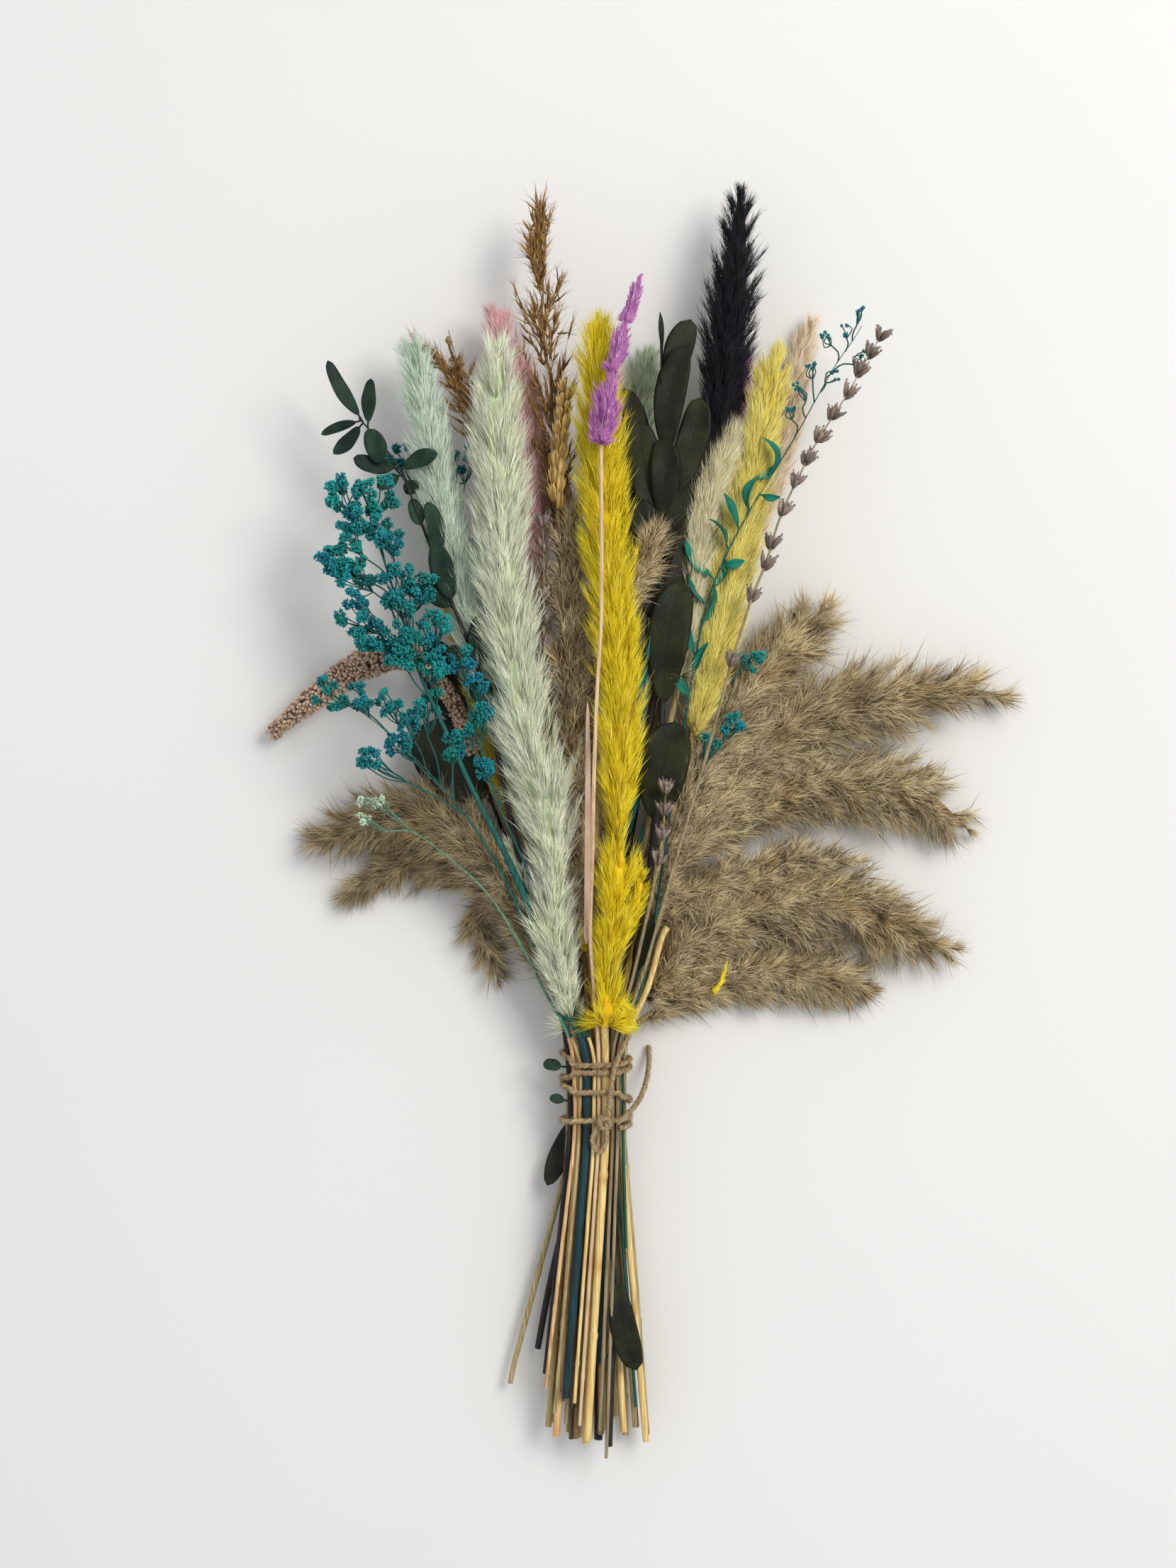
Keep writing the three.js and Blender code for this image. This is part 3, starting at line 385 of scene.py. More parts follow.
def strands(name, slot, root, tip, patch, odd=None, bump=0.0, sheen=0.2, **values):
    """A finish for hair, husks, petals or beads, made of strands of several tints."""
    made = new_material(name, Sheen_Weight=sheen, Sheen_Roughness=0.5, Sheen_Tint=ink(tip))
    values.update(Root=ink(root), Tip=ink(tip), Patch=ink(patch), Odd=ink(odd or patch))
    return tinted(made, STRAND_TINT, bump, 0.0003, values), slot


JUTE = strands("jute", "twine_jute", "8C7450", "BAA27A", "766048", bump=0.5, Patches=0.5, Strands=0.5)


def yarn(gather, rng, line, diameter, fuzz=7):
    """Three plies twisted together along a line, with fibres that stand off. fuzz is hairs per mm."""
    tangent, side, top = carried_frames(line)
    run = run_of(line)
    for ply in range(3):
        turn = 2 * math.pi * (run / PLY_PITCH + ply / 3)
        offset = side * np.cos(turn)[:, None] + top * np.sin(turn)[:, None]
        wander = 1 + 0.1 * np.sin(run / MM * 1.3 + ply * 2)
        core = line + offset * diameter * 0.25 * wander[:, None]
        radius = diameter * 0.29 * (1 + 0.08 * np.sin(run / MM * 2.1 + ply))
        tints = np.stack([0.5 + 0.5 * np.sin(turn + ply), np.full(len(run), 0.2 + 0.3 * ply),
                          np.full(len(run), rng.random())], 1)
        tube(gather, core, radius, 6, tints)
    count = int(run[-1] / MM * fuzz)
    at = rng.integers(0, len(line) - 1, count)
    out = unit(rng.normal(size=(count, 3)))
    out = unit(out - tangent[at] * (out * tangent[at]).sum(1)[:, None])
    ahead = tangent[at] * rng.choice([-1, 1], count)[:, None]
    length = np.minimum(rng.gamma(2.0, 0.55, count), 2.0)[:, None] * MM
    root = line[at] + out * diameter * 0.42
    bend = root + ahead * length * 0.7 + out * length * 0.15
    tip = bend + ahead * length * 0.4 + out * length * rng.uniform(0.1, 0.9, (count, 1))
    tip += rng.normal(size=(count, 3)) * length * 0.2
    for points in (root, bend, tip):
        points[:, 2] = np.maximum(points[:, 2], HAIR_CLEARANCE)
    needles(gather, rng, root, bend, tip, 0.11 * MM)


def wires_of(name):
    """A node's points, and both ends of each of its edges."""
    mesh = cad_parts[name].data
    points = np.array([v.co[:] for v in mesh.vertices])
    edges = np.array([e.vertices[:] for e in mesh.edges])
    return points, points[edges[:, 0]], points[edges[:, 1]]


def cut_ends(y):
    """Centre and half width of every stalk where the bundle is cut across at y mm from the tie."""
    found = []
    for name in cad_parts:
        if name.startswith("twine"):
            continue
        _, a, b = wires_of(name)
        level = tie_y + y * MM
        split = (a[:, 1] < level) != (b[:, 1] < level)
        a, b = a[split], b[split]
        if len(a) < 3:
            continue
        share = (level - a[:, 1]) / (b[:, 1] - a[:, 1])
        ring = a + (b - a) * share[:, None]
        low, high = ring.min(0), ring.max(0)
        found.append(((low[0] + high[0]) / 2, (low[2] + high[2]) / 2, (high[0] - low[0]) / 2))
    return np.array(found)


in_tie = cut_ends(-3)
THICKEST_STALK = in_tie[:, 2].max()
TWINE_GAP = 0.35 * MM
turns_top = (in_tie[:, 1].max() + THICKEST_STALK + TWINE_GAP + TWINE_DIAMETER / 2) / MM


def from_knot(route):
    """A strand's route from the knot, as row-frame points."""
    lying = TWINE_DIAMETER / MM / 2 + 0.3
    return np.array(
        [place(KNOT[0] + x, KNOT[1] + y, lying if z is None else turns_top + z) for x, y, z in route]
    )


tail_line = smooth_line(from_knot(TAIL_ROUTE), 0.5 * MM)
tail = Gather()
yarn(tail, np.random.default_rng(11), tail_line, TWINE_DIAMETER)
tail_piece = tail.finish("twine_loose_tail", "twine_tail", JUTE)

# ------------------------------------------------------------------ the tie
# The same jute, wound four times round the stalks, knotted on top with a small bow loop below the
# knot. Its other end is laid back up over the turns.
TURN_HEIGHTS = [
    (-60, 17.6), (0, 16.8), (90, 15.4), (180, 19.4), (360, 13.8), (450, 12.2), (540, 9.6),
    (720, 0.8), (810, 4.6), (900, 6.9), (1080, -6), (1260, -7.2), (1440, -8.8), (1512, -9.6),
]  # degrees round the bundle from its right side, and mm from the tie
BOW = [(0, 1, 2), (-3.2, -3, 1.4), (-4.4, -8, 0.6), (-2, -11.6, 0.3), (0.6, -8, 0.9), (0.9, -3, 2),
       (0.8, 1, 2.6)]
LONG_END = [(1.2, -0.6, 2), (1.9, 6, 1.9), (2.8, 15, 1.9), (4.6, 23, 1.9), (10.4, 36, 2.4)]
KNOT_TURNS = [(-2.6, 0.4, 1.6), (-1.4, 2.2, 3.0), (1.4, 1.6, 3.6), (2.6, -0.6, 2.8), (0.8, -2.4, 2.4),
              (-1.6, -1.4, 3.2), (-1.8, 0.8, 3.8), (0.6, 1.8, 3.2), (3.2, 0.9, 2.2)]


def round_bundle(angle):
    """Where the twine lies at an angle round the bundle: on the stalk that stands out furthest."""
    a = math.radians(angle)
    reach = in_tie[:, 0] * math.cos(a) + in_tie[:, 1] * math.sin(a) + in_tie[:, 2]
    x, z, r = in_tie[np.argmax(reach)]
    off = r + TWINE_GAP + TWINE_DIAMETER / 2
    i = max(1, next(k for k, (step, _) in enumerate(TURN_HEIGHTS) if step >= angle))
    (a0, y0), (a1, y1) = TURN_HEIGHTS[i - 1], TURN_HEIGHTS[i]
    t = (angle - a0) / (a1 - a0)
    y = y0 + (y1 - y0) * t * t * (3 - 2 * t)
    return np.array([x + off * math.cos(a), tie_y + y * MM, z + off * math.sin(a)])


tie = Gather()
rng = np.random.default_rng(12)
turns = [round_bundle(angle) for angle in range(TURN_HEIGHTS[0][0], TURN_HEIGHTS[-1][0] + 1, 18)]
for line in (np.array(turns), from_knot(BOW), from_knot(LONG_END), from_knot(KNOT_TURNS)):
    yarn(tie, rng, smooth_line(line, 0.6 * MM), TWINE_DIAMETER, fuzz=10)
tie.finish("twine_tied_turns", "twine_tie", JUTE)

# ------------------------------------------------------------------ bare stalks
# Dried stems, cut off straight across at the foot: pale hollow straws, thinner canes, a dark curved one.
# Each runs up through the tie, where it is held between its neighbours.
STALK_SIDES = 10
NODE_EVERY = 62 * MM
SPINE_STEP = 2 * MM
UNDER_BARK = 0.97  # a stalk's mean radius, as a share of its solid's


def traced(name, step=4.0):
    """A node's line from its foot to its tip, with its half width and half height along it."""
    points, a, b = wires_of(name)
    low = points[points[:, 1] < points[:, 1].min() + 0.4 * MM]
    centre = (low.min(0) + low.max(0)) / 2
    half = max(0.6 * MM, np.ptp(low[:, 0]) / 2)
    heading, line, halves = np.array([0.0, 1.0, 0.0]), [centre], [(half, half)]
    for _ in range(400):
        ahead = centre + heading * step * MM
        da, db = (a - ahead) @ heading, (b - ahead) @ heading
        split = (da < 0) != (db < 0)
        share = (da[split] / (da[split] - db[split]))[:, None]
        cut = a[split] + (b[split] - a[split]) * share
        reach = np.linalg.norm(cut - ahead, axis=1)
        cut = cut[reach < 1.55 * max(halves[-1]) + 2.2 * MM]
        if len(cut) < 3:
            break
        side = unit(np.cross(heading, [0, 0, 1.0]))
        over = np.cross(side, heading)
        u, v = (cut - ahead) @ side, (cut - ahead) @ over
        middle = ahead + side * (u.min() + u.max()) / 2 + over * (v.min() + v.max()) / 2
        heading = unit(heading * 0.5 + unit(middle - centre) * 0.5)
        centre = middle
        line.append(centre)
        halves.append((np.ptp(u) / 2, np.ptp(v) / 2))
    reach = (points - centre) @ heading
    close = np.linalg.norm(points - centre, axis=1) < 3 * step * MM
    if close.any() and reach[close].max() > 0.5 * MM:
        line.append(points[close][np.argmax(reach[close])])
        halves.append((halves[-1][0] * 0.3, halves[-1][1] * 0.3))
    line, halves = np.array(line), np.array(halves)
    for _ in range(2):
        line[1:-1] = (line[:-2] + 2 * line[1:-1] + line[2:]) / 4
    return line, halves


def height_of(y):
    """A height up the bunch, from mm over the tie."""
    return tie_y + y * MM


def bark_group():
    """Colours of dried stems: fibres running up them, stains, and the pale cut ends."""
    amounts = {"Stains": 0.6}
    group, given = tint_group("bark_tint", ("Base", "Streak", "Stain", "Cut"), amounts)
    _, _, cut, where = read_tint(group)
    along_stem = add(group, "Mapping", {"Vector": where, "Scale": (1500, 26, 1500)}).outputs[0]
    fibre = noise(group, along_stem, 1.0, 3.0)
    blot = noise(group, where, 70.0, 4.0)
    colour = blend(group, stretch(group, fibre, 0.42, 0.62), given["Base"], given["Streak"])
    stains = reckon(group, "MULTIPLY", stretch(group, blot, 0.55, 0.72), given["Stains"])
    colour = blend(group, cut, blend(group, stains, colour, given["Stain"]), given["Cut"])
    rough = reckon(group, "MULTIPLY_ADD", fibre, 0.35, 0.42)
    return put_out(group, colour, rough, reckon(group, "ADD", fibre, blot))


BARK_TINT = bark_group()


def bark(name, slot, base, streak, stain, cut, **values):
    """A finish for stalks."""
    values.update(Base=ink(base), Streak=ink(streak), Stain=ink(stain), Cut=ink(cut))
    return tinted(new_material(name, Specular_IOR_Level=0.35), BARK_TINT, 0.35, 0.0004, values), slot


STRAW = bark("straw", "stalk_straw", "F0D592", "D6AC5C", "AC7028", "F0E4C2", Stains=0.4)
STRAW_PINK = bark("straw_pinkish", "stalk_straw", "E8C48E", "C48F5A", "A8703C", "EEDDBA")
CANE = bark("striped_cane", "stalk_straw", "BCAA78", "8C7A4C", "6A5A36", "E2D6B0")
BROWN = bark("brown_stem", "stalk_brown", "7F6845", "5A462B", "3C2C1A", "C9B68C")
DARK = bark("dark_stem", "stalk_dark", "2A2526", "151216", "4A3C30", "8C7B60")
TEAL = bark("teal_stem", "stalk_teal", "093C46", "05262E", "16241F", "4F5A48")
GREEN_TEAL = bark("green_teal_stem", "stalk_teal", "136056", "0C423E", "2E4230", "6E7A5C")


def stem(gather, rng, line, radius, head=None, hollow=False, knots=None, sides=STALK_SIDES):
    """A ribbed stem with joints and a cut straight across its foot. Above head it thins away to the tip."""
    run = run_of(line)
    head = len(line) if head is None else head
    thin = np.ones(len(line))
    if head < len(line) - 1:
        thin[head:] = np.linspace(1, 0.22, len(line) - head)
    base = radius * thin * (1 + 0.05 * np.sin(run / MM / 17 + rng.random() * 6))
    start, every = rng.uniform(0.2, 0.9) * NODE_EVERY, NODE_EVERY * rng.uniform(0.85, 1.2)
    for at in (knots if knots is not None else np.arange(start, run[-1], every)):
        base = base * (1 + 0.2 * np.exp(-(((run - at) / (1.3 * MM)) ** 2)))
        base = base * (1 - 0.09 * np.exp(-(((run - at - 2.2 * MM) / (1.0 * MM)) ** 2)))
    ribs = 1 + 0.05 * np.cos(round_angles(sides) * 3 + rng.random() * 6) + rng.uniform(-0.03, 0.03, sides)
    _, side, top = carried_frames(line)
    inner = 0.55 if hollow else 0.7
    depth = 5 * MM if hollow else 0.05 * MM
    first = line[0] + unit(line[1] - line[0]) * depth
    line = np.concatenate([[first, line[0], line[0]], line[0:]])
    grown = np.concatenate([base[:1] * inner, base[:1] * inner, base[:1] * 0.94, base])
    side, top = (np.concatenate([v[:1], v[:1], v[:1], v]) for v in (side, top))
    line[3] = line[3] + unit(line[4] - line[3]) * 0.15 * MM
    share = np.concatenate([[0, 0, 0], run / 0.4])
    cut = np.zeros(len(line))
    cut[:3] = (0.0 if hollow else 1.0, 1.0, 1.0)
    tints = np.stack([share, np.full(len(line), rng.random()), cut], 1)
    tube(gather, line, grown[:, None] * ribs[None], sides, tints, frames=(None, side, top))


def stalk_under(node, seed, finish, line, radius, head, **shape):
    """The stalk of a plant with a head of its own, as its own piece."""
    stalk = Gather()
    stem(stalk, np.random.default_rng(seed), line, radius, head=head, **shape)
    stalk.finish(f"{node}_stalk", node, finish)


def spine(node, route=None):
    """A node's line at even steps, its half sizes and its stalk's radius. route ends it otherwise."""
    line, halves = traced(node)
    if route:
        keep = line[:, 1] < place(0, route[0][1])[1]
        keep &= np.cumsum(~keep) == 0
        more = np.array([place(x, y, z) for x, y, z, _, _ in route])
        line = np.concatenate([line[keep], more])
        halves = np.concatenate([halves[keep], np.array([(w * MM, h * MM) for _, _, _, w, h in route])])
    radius = float(np.median(halves[3:26, 0])) * UNDER_BARK
    fine, run = smooth_line(line, SPINE_STEP), run_of(line)
    return fine, read_off(np.linspace(0, run[-1], len(fine)), run, halves), radius


def plant(node, seed, finish, head_y, route=None, **shape):
    """A plant's stalk as its own piece. Returns its spine, half sizes and where its head starts."""
    line, halves, radius = spine(node, route)
    head = int(np.argmax(line[:, 1] > height_of(head_y)))
    stalk_under(node, seed, finish, line, radius, head, **shape)
    return line, halves, head


BARE = {
    # node: finish, whether it is hollow
    "straw_stalk": (STRAW, True),
    "straw_stalk_short": (STRAW, True),
    "straw_stalk_right": (STRAW, True),
    "brown_stalk": (BROWN, False),
    "dark_curved_stalk": (DARK, False),
}
for seed, (node, (finish, hollow)) in enumerate(BARE.items()):
    line, _, radius = spine(node)
    bare = Gather()
    stem(bare, np.random.default_rng(20 + seed), line, radius, hollow=hollow)
    bare.finish(f"{node}_stem", node, finish)



# ------------------------------------------------------------------ reed plumes
# Nine dried reed plumes in taupe and brown: loose side branches of long wavy hair, swept forward
# and a little to one side, with stiff dark bristles standing out of the hair.
BOX_TOP = cad_box[1][2] + 0.8 * MM  # the highest that anything reaches
CORE_SIDES = 16


def level_frames(line):
    """Tangent, side and top at each point of a line, with the side kept level."""
    tangent = heading_of(line)
    side = unit(np.cross(tangent, [0, 0, 1.0]))
    return tangent, side, np.cross(side, tangent)


def within_box(points, room=5.0):
    """Points kept over the paper and inside the bunch's box, but for room mm at the sides."""
    low, high = np.array(cad_box[0]), np.array(cad_box[1])
    low, high = low - room * MM, high + room * MM
    low[2], high[2] = HAIR_CLEARANCE, BOX_TOP
    return np.clip(points, low, high)


def plume(gather, rng, line, wide, high, branches, hairs, sweep=24, hair=12.0, thick=0.22, curl=0.2,
          odd=0.0, odd_hair=1.2, fan=13, swirl=0.0, core=0.4, reach=0.86, blunt=0.0, arch=0.4):
    """A soft core, coloured close to the darker root colour as painted shade of the plume's dense inside,
    and side branches sweeping forward from it that are clothed in fine hairs.
    wide and high are half sizes along the line. sweep and fan are angles, hair and thick mm.
    blunt is how far the tip keeps the greatest width, arch how far out the branches are halfway."""
    tail = slice(len(line) * 3 // 4, None)
    wide, high = wide.copy(), high.copy()
    wide[tail] = np.maximum(wide[tail], blunt * wide.max())
    high[tail] = np.maximum(high[tail], blunt * high.max())
    run = run_of(line)
    frames = _, side, top = level_frames(line)
    angle = round_angles(CORE_SIDES)
    lumps = np.sin(run[:, None] / MM / 3.1 + 2 * np.sin(angle * 2)[None] + rng.random() * 6)
    oval = core * (1 + 0.1 * lumps) / np.sqrt(
        (np.cos(angle)[None] / np.maximum(wide, 0.4 * MM)[:, None]) ** 2
        + (np.sin(angle)[None] / np.maximum(high, 0.4 * MM)[:, None]) ** 2)
    # The core takes almost only the root colour: painted shade of the dense inside of the plume.
    tints = np.stack([0.05 + 0.05 * np.sin(run / MM / 2.0), rng.random(len(run)) * 0.9,
                      rng.random(len(run))], 1)
    tube(gather, line, oval, CORE_SIDES, tints, frames=frames)
    density = np.interp(np.linspace(0, 1, 400), run / run[-1], wide) + 0.6 * MM
    steps = np.cumsum(density) / density.sum()
    s = np.interp((np.arange(branches) + rng.random(branches)) / branches, steps,
                  np.linspace(0, run[-1], len(steps)))
    s = np.maximum(s, 0.5 * MM)
    across = rng.uniform(-1, 1, branches)
    over = np.sqrt(1 - across**2) * np.where(rng.random(branches) < 0.68, 1, -1)
    rho = rng.uniform(0.3, 1.0, branches) ** 0.45 * reach
    w, h = np.interp(s, run, wide), np.interp(s, run, high)
    side, top = read_off(s, run, side), read_off(s, run, top)
    out = side * (across * w * rho)[:, None] + top * (over * h * rho)[:, None]
    back = np.linalg.norm(out, axis=1) / math.tan(math.radians(sweep)) * rng.uniform(0.8, 1.25, branches)
    back = np.clip(back, 3 * MM, 30 * MM)
    tip = read_off(s, run, line) + out
    root = read_off(np.maximum(s - back, 0), run, line)
    bend = read_off(np.maximum(s - back * 0.45, 0), run, line) + out * arch
    twist = top * swirl * MM * rng.uniform(-1, 1, (branches, 1))
    twist = twist + side * swirl * MM * rng.uniform(-1, 1, (branches, 1))
    chance = rng.random(branches)
    needles(gather, rng, root, bend, tip, thick * 1.3 * MM, chance)
    pick = rng.integers(0, branches, branches * hairs)
    u = rng.uniform(0.1, 1.0, (len(pick), 1))
    a, b, c = root[pick], bend[pick], tip[pick]
    start = (1 - u) ** 2 * a + 2 * u * (1 - u) * b + u * u * c
    ahead = unit((1 - u) * (b - a) + u * (c - b))
    off = rng.normal(size=(len(pick), 3)) + unit(out[pick]) * 0.5
    off = unit(off - ahead * (off * ahead).sum(1, keepdims=True))
    lean = np.radians(np.abs(rng.normal(fan, fan * 0.5, len(pick))))[:, None]
    way = ahead * np.cos(lean) + off * np.sin(lean)
    fade = np.minimum(1.0, 0.55 + (run[-1] - s[pick]) / (16 * MM))[:, None]
    long = hair * MM * rng.uniform(0.5, 1.1, (len(pick), 1)) * (1.05 - 0.3 * u) * fade
    strange = rng.random(len(pick)) < odd
    long[strange] *= odd_hair
    middle = start + (ahead * 0.6 + way * 0.4) * long * 0.55 + off * long * 0.05 + twist[pick] * 0.4
    end = start + way * long + twist[pick] + rng.normal(size=(len(pick), 3)) * long * curl * 0.35
    widths = thick * MM * rng.uniform(0.7, 1.25, len(pick)) * np.where(strange, 1.3, 1.0)
    needles(gather, rng, within_box(start), within_box(middle), within_box(end), widths,
            chance[pick], odd=strange)


REED = strands("reed_hair", "reed_natural", "6C522A", "F2DFB4", "B4965E", odd="5A3E1E", Tufts=0.7,
               Patches=0.5, Strands=0.75)
REED_LOOKS = dict(thick=0.23, curl=0.6, odd=0.09, fan=16, swirl=2.4, core=0.33, reach=0.98)
CENTRE_DEEPER, CENTRE_LIFT = 2.1, 9 * MM  # the middle reed stands up between its neighbours
REEDS = {
    # node: head's start, branches, hairs, hair length, sweep
    "reed_plume_left_lower": (40, 110, 60, 11, 32),
    "reed_plume_left_middle": (44, 180, 80, 12, 30),
    "reed_plume_left_upper": (52, 220, 80, 13, 30),
    "reed_plume_centre": (50, 220, 70, 13, 24),
    "reed_plume_right_lower": (40, 230, 80, 14, 32),
    "reed_plume_right_tail": (32, 200, 80, 13, 30),
    "reed_plume_right_third": (70, 230, 80, 14, 32),
    "reed_plume_right_second": (88, 230, 80, 15, 32),
    "reed_plume_right_first": (90, 230, 80, 15, 30),
}
REED_LEFT_LOWER = [(-13, 40, 3, 1.4, 1.4), (-22, 58, 4, 3, 3), (-30, 72, 5, 5, 4.5), (-38, 82, 4.5, 8, 4.3),
                   (-45, 80, 4.4, 8, 4.3), (-47, 69, 4.4, 6.5, 4.3), (-43, 58, 4, 4, 3.6),
                   (-39, 47, 3, 0.6, 0.6)]
# Side tufts as points (x, y, height over the paper, half width), in mm from the tie.
REED_TUFTS = {
    "reed_plume_centre": [[(8, 192, 32, 1), (14, 203, 36, 4.5), (19, 214, 39, 4.5), (24, 227, 41, 0.6)]],
    "reed_plume_right_third": [[(14, 74, 9, 1), (34, 82, 9, 7), (58, 91, 9, 8), (84, 96, 8, 6),
                                (106, 95, 7, 0.6)]],
    "reed_plume_right_tail": [[(14, 66, 8, 1), (32, 76, 8, 6), (52, 84, 8, 7), (76, 86, 7, 6),
                               (98, 78, 6, 0.6)]],
}


def side_tuft(gather, rng, points, branches, hairs, **shape):
    """A small plume of its own along a few points."""
    line = smooth_line([place(x, y, z) for x, y, z, _ in points], 2 * MM)
    wide = np.interp(np.linspace(0, 1, len(line)), np.linspace(0, 1, len(points)),
                     [w * MM for *_, w in points])
    plume(gather, rng, line, wide, np.minimum(wide, 5 * MM), branches, hairs, **shape)


for seed, (node, (head_y, branches, hairs, hair, sweep)) in enumerate(REEDS.items()):
    route = REED_LEFT_LOWER if node == "reed_plume_left_lower" else None
    line, halves, head = plant(node, 40 + seed, CANE, head_y, route)
    reed = Gather()
    wide, high = halves[head:, 0], halves[head:, 1]
    if node == "reed_plume_centre":
        high = high * CENTRE_DEEPER
        line[head:, 2] += CENTRE_LIFT * np.minimum(np.arange(len(line) - head) / 12, 1)
    looks = dict(REED_LOOKS, sweep=sweep, hair=hair)
    rng = np.random.default_rng(60 + seed)
    plume(reed, rng, line[head:], wide, high, branches, hairs, **looks)
    for tuft in REED_TUFTS.get(node, []):
        side_tuft(reed, rng, tuft, 70, 60, **looks)
    reed.finish(f"{node}_hair", node, REED)

# ------------------------------------------------------------------ soft plumes
# Pampas and feather-grass plumes, dyed mint, pink, yellow, black and purple or left cream. Each has
# a stem with swept side branches, clothed in silky hair and held side by side by their neighbours.
PLUME_LOOKS = {
    # slot, then root, tip, patch and odd colours, then tufts, patches, strands
    "mint": ("plume_mint", "D2DEAE", "FEFFEC", "EEF5CE", "FFFFF4", 0.3, 0.5, 0.25),
    "mint_cool": ("plume_mint", "BCD6BA", "F2FEEC", "DAEDD4", "FCFFFC", 0.3, 0.5, 0.25),
    "mint_grey": ("plume_mint_grey", "98A888", "CCD8BA", "B0BE9C", "E0E6CE", 0.25, 0.5, 0.2),
    "pink": ("plume_pink", "E89CA0", "FFD6D4", "F4B6B8", "FFEAE6", 0.25, 0.5, 0.25),
    "yellow": ("plume_yellow", "E8BE00", "FFF024", "FADA00", "FFF680", 0.28, 0.5, 0.25),
    "yellow_pale": ("plume_yellow_pale", "F0D23C", "FFF692", "F8E25C", "FFFBC0", 0.2, 0.5, 0.2),
    "yellow_dull": ("plume_yellow_pale", "C0A010", "F4DA38", "D8BA1C", "F8EA70", 0.3, 0.5, 0.25),
    "cream": ("plume_cream", "C8BC86", "F8F0C8", "E0D4A2", "FFFCE8", 0.25, 0.5, 0.2),
    "peach": ("plume_peach", "E8C298", "FFF2D8", "F8DCB6", "FFFAF0", 0.25, 0.5, 0.2),
    "black": ("plume_black", "04040A", "0C0B16", "06060F", "1C1A30", 0.5, 0.4, 0.4),
    "purple": ("plume_purple", "7E3A7A", "C880C2", "A0589C", "D8A4D2", 0.35, 0.5, 0.25),
}
HAIR = {
    key: strands(f"{key}_hair", *look, sheen=0.3, Tufts=tufts, Patches=patches, Strands=spread,
                 Patch_Scale=45.0)
    for key, (*look, tufts, patches, spread) in PLUME_LOOKS.items()
}
PINK_DEEPER = 1.35  # so that the pink shows behind the mint
PLUME_HAIR = dict(odd=0.04, odd_hair=1.1, thick=0.21, fan=9, arch=0.52)
PLUMES = {
    # node: hair, stalk, head's start, branches, hairs, sweep, hair length, blunt
    "mint_plume_back": ("mint_grey", CANE, 205, 300, 42, 18, 13, 0.5),
    "purple_plume_back": ("purple", BROWN, 210, 240, 34, 18, 11, 0.5),
    "peach_plume": ("peach", CANE, 198, 300, 38, 16, 12, 0.3),
    "yellow_plume_left": ("yellow_dull", CANE, 112, 260, 30, 16, 9, 0.5),
    "pink_plume": ("pink", CANE, 165, 440, 44, 17, 14, 0.5),
    "black_plume": ("black", DARK, 185, 420, 44, 24, 13, 0.2),
    "mint_plume_left": ("mint_cool", CANE, 120, 480, 43, 18, 15, 0.4),
    "cream_plume": ("cream", CANE, 168, 360, 45, 17, 15, 0.5),
    "yellow_plume_right": ("yellow_pale", STRAW, 144, 460, 44, 16, 15, 0.5),
    "mint_plume_front": ("mint", STRAW_PINK, 30, 500, 52, 22, 17, 0.4),
    "yellow_plume_front": ("yellow", STRAW, 30, 520, 48, 18, 16, 0.5),
}
PLUME_TUFTS = {
    "mint_plume_front": [
        [(-17, 112, 35, 1), (-11, 126, 37, 2), (-7.5, 138, 38, 1.4), (-5, 148, 38, 0.4)],
        [(-16, 62, 24, 1), (-24, 78, 26, 4.5), (-30, 92, 28, 4.5), (-35, 106, 30, 0.5)]],
    "yellow_plume_front": [
        [(8, 58, 28, 1), (13, 72, 30, 4), (16.5, 84, 32, 4.2), (18, 98, 34, 0.5)],
        [(4, 41, 25, 1), (8, 40, 27, 3), (12, 36, 27, 2.6), (15, 30, 25, 0.5)],
        [(-5, 60, 25, 0.5), (-6.5, 70, 27, 1.8), (-7.5, 82, 28, 0.4)],
        [(46, 43, 15, 0.3), (49.5, 47, 16, 0.6), (52, 55, 16, 0.3)]],
}
for seed, (node, look) in enumerate(PLUMES.items()):
    colour, stalk, head_y, branches, hairs, sweep, hair, blunt = look
    line, halves, head = plant(node, 80 + seed, stalk, head_y)
    fluff = Gather()
    rng = np.random.default_rng(100 + seed)
    looks = dict(PLUME_HAIR, sweep=sweep)
    high = halves[head:, 1] * (PINK_DEEPER if node == "pink_plume" else 1)
    plume(fluff, rng, line[head:], halves[head:, 0], high, branches, hairs, hair=hair, blunt=blunt,
          **looks)
    for tuft in PLUME_TUFTS.get(node, []):
        side_tuft(fluff, rng, tuft, 60, 26, hair=3 + 1.3 * max(w for *_, w in tuft), **looks)
    fluff.finish(f"{node}_hair", node, HAIR[colour])


# ------------------------------------------------------------------ eucalyptus and reed leaves
# Three eucalyptus branches, glycerined dark: long blunt leaves, small ovals in pairs and round
# ones. A teal-dyed reed has narrow leaves. The leathery blades bend at the midrib and curl a little.
LEAF_COLUMNS = 9
LEAF_THICK = 0.22 * MM


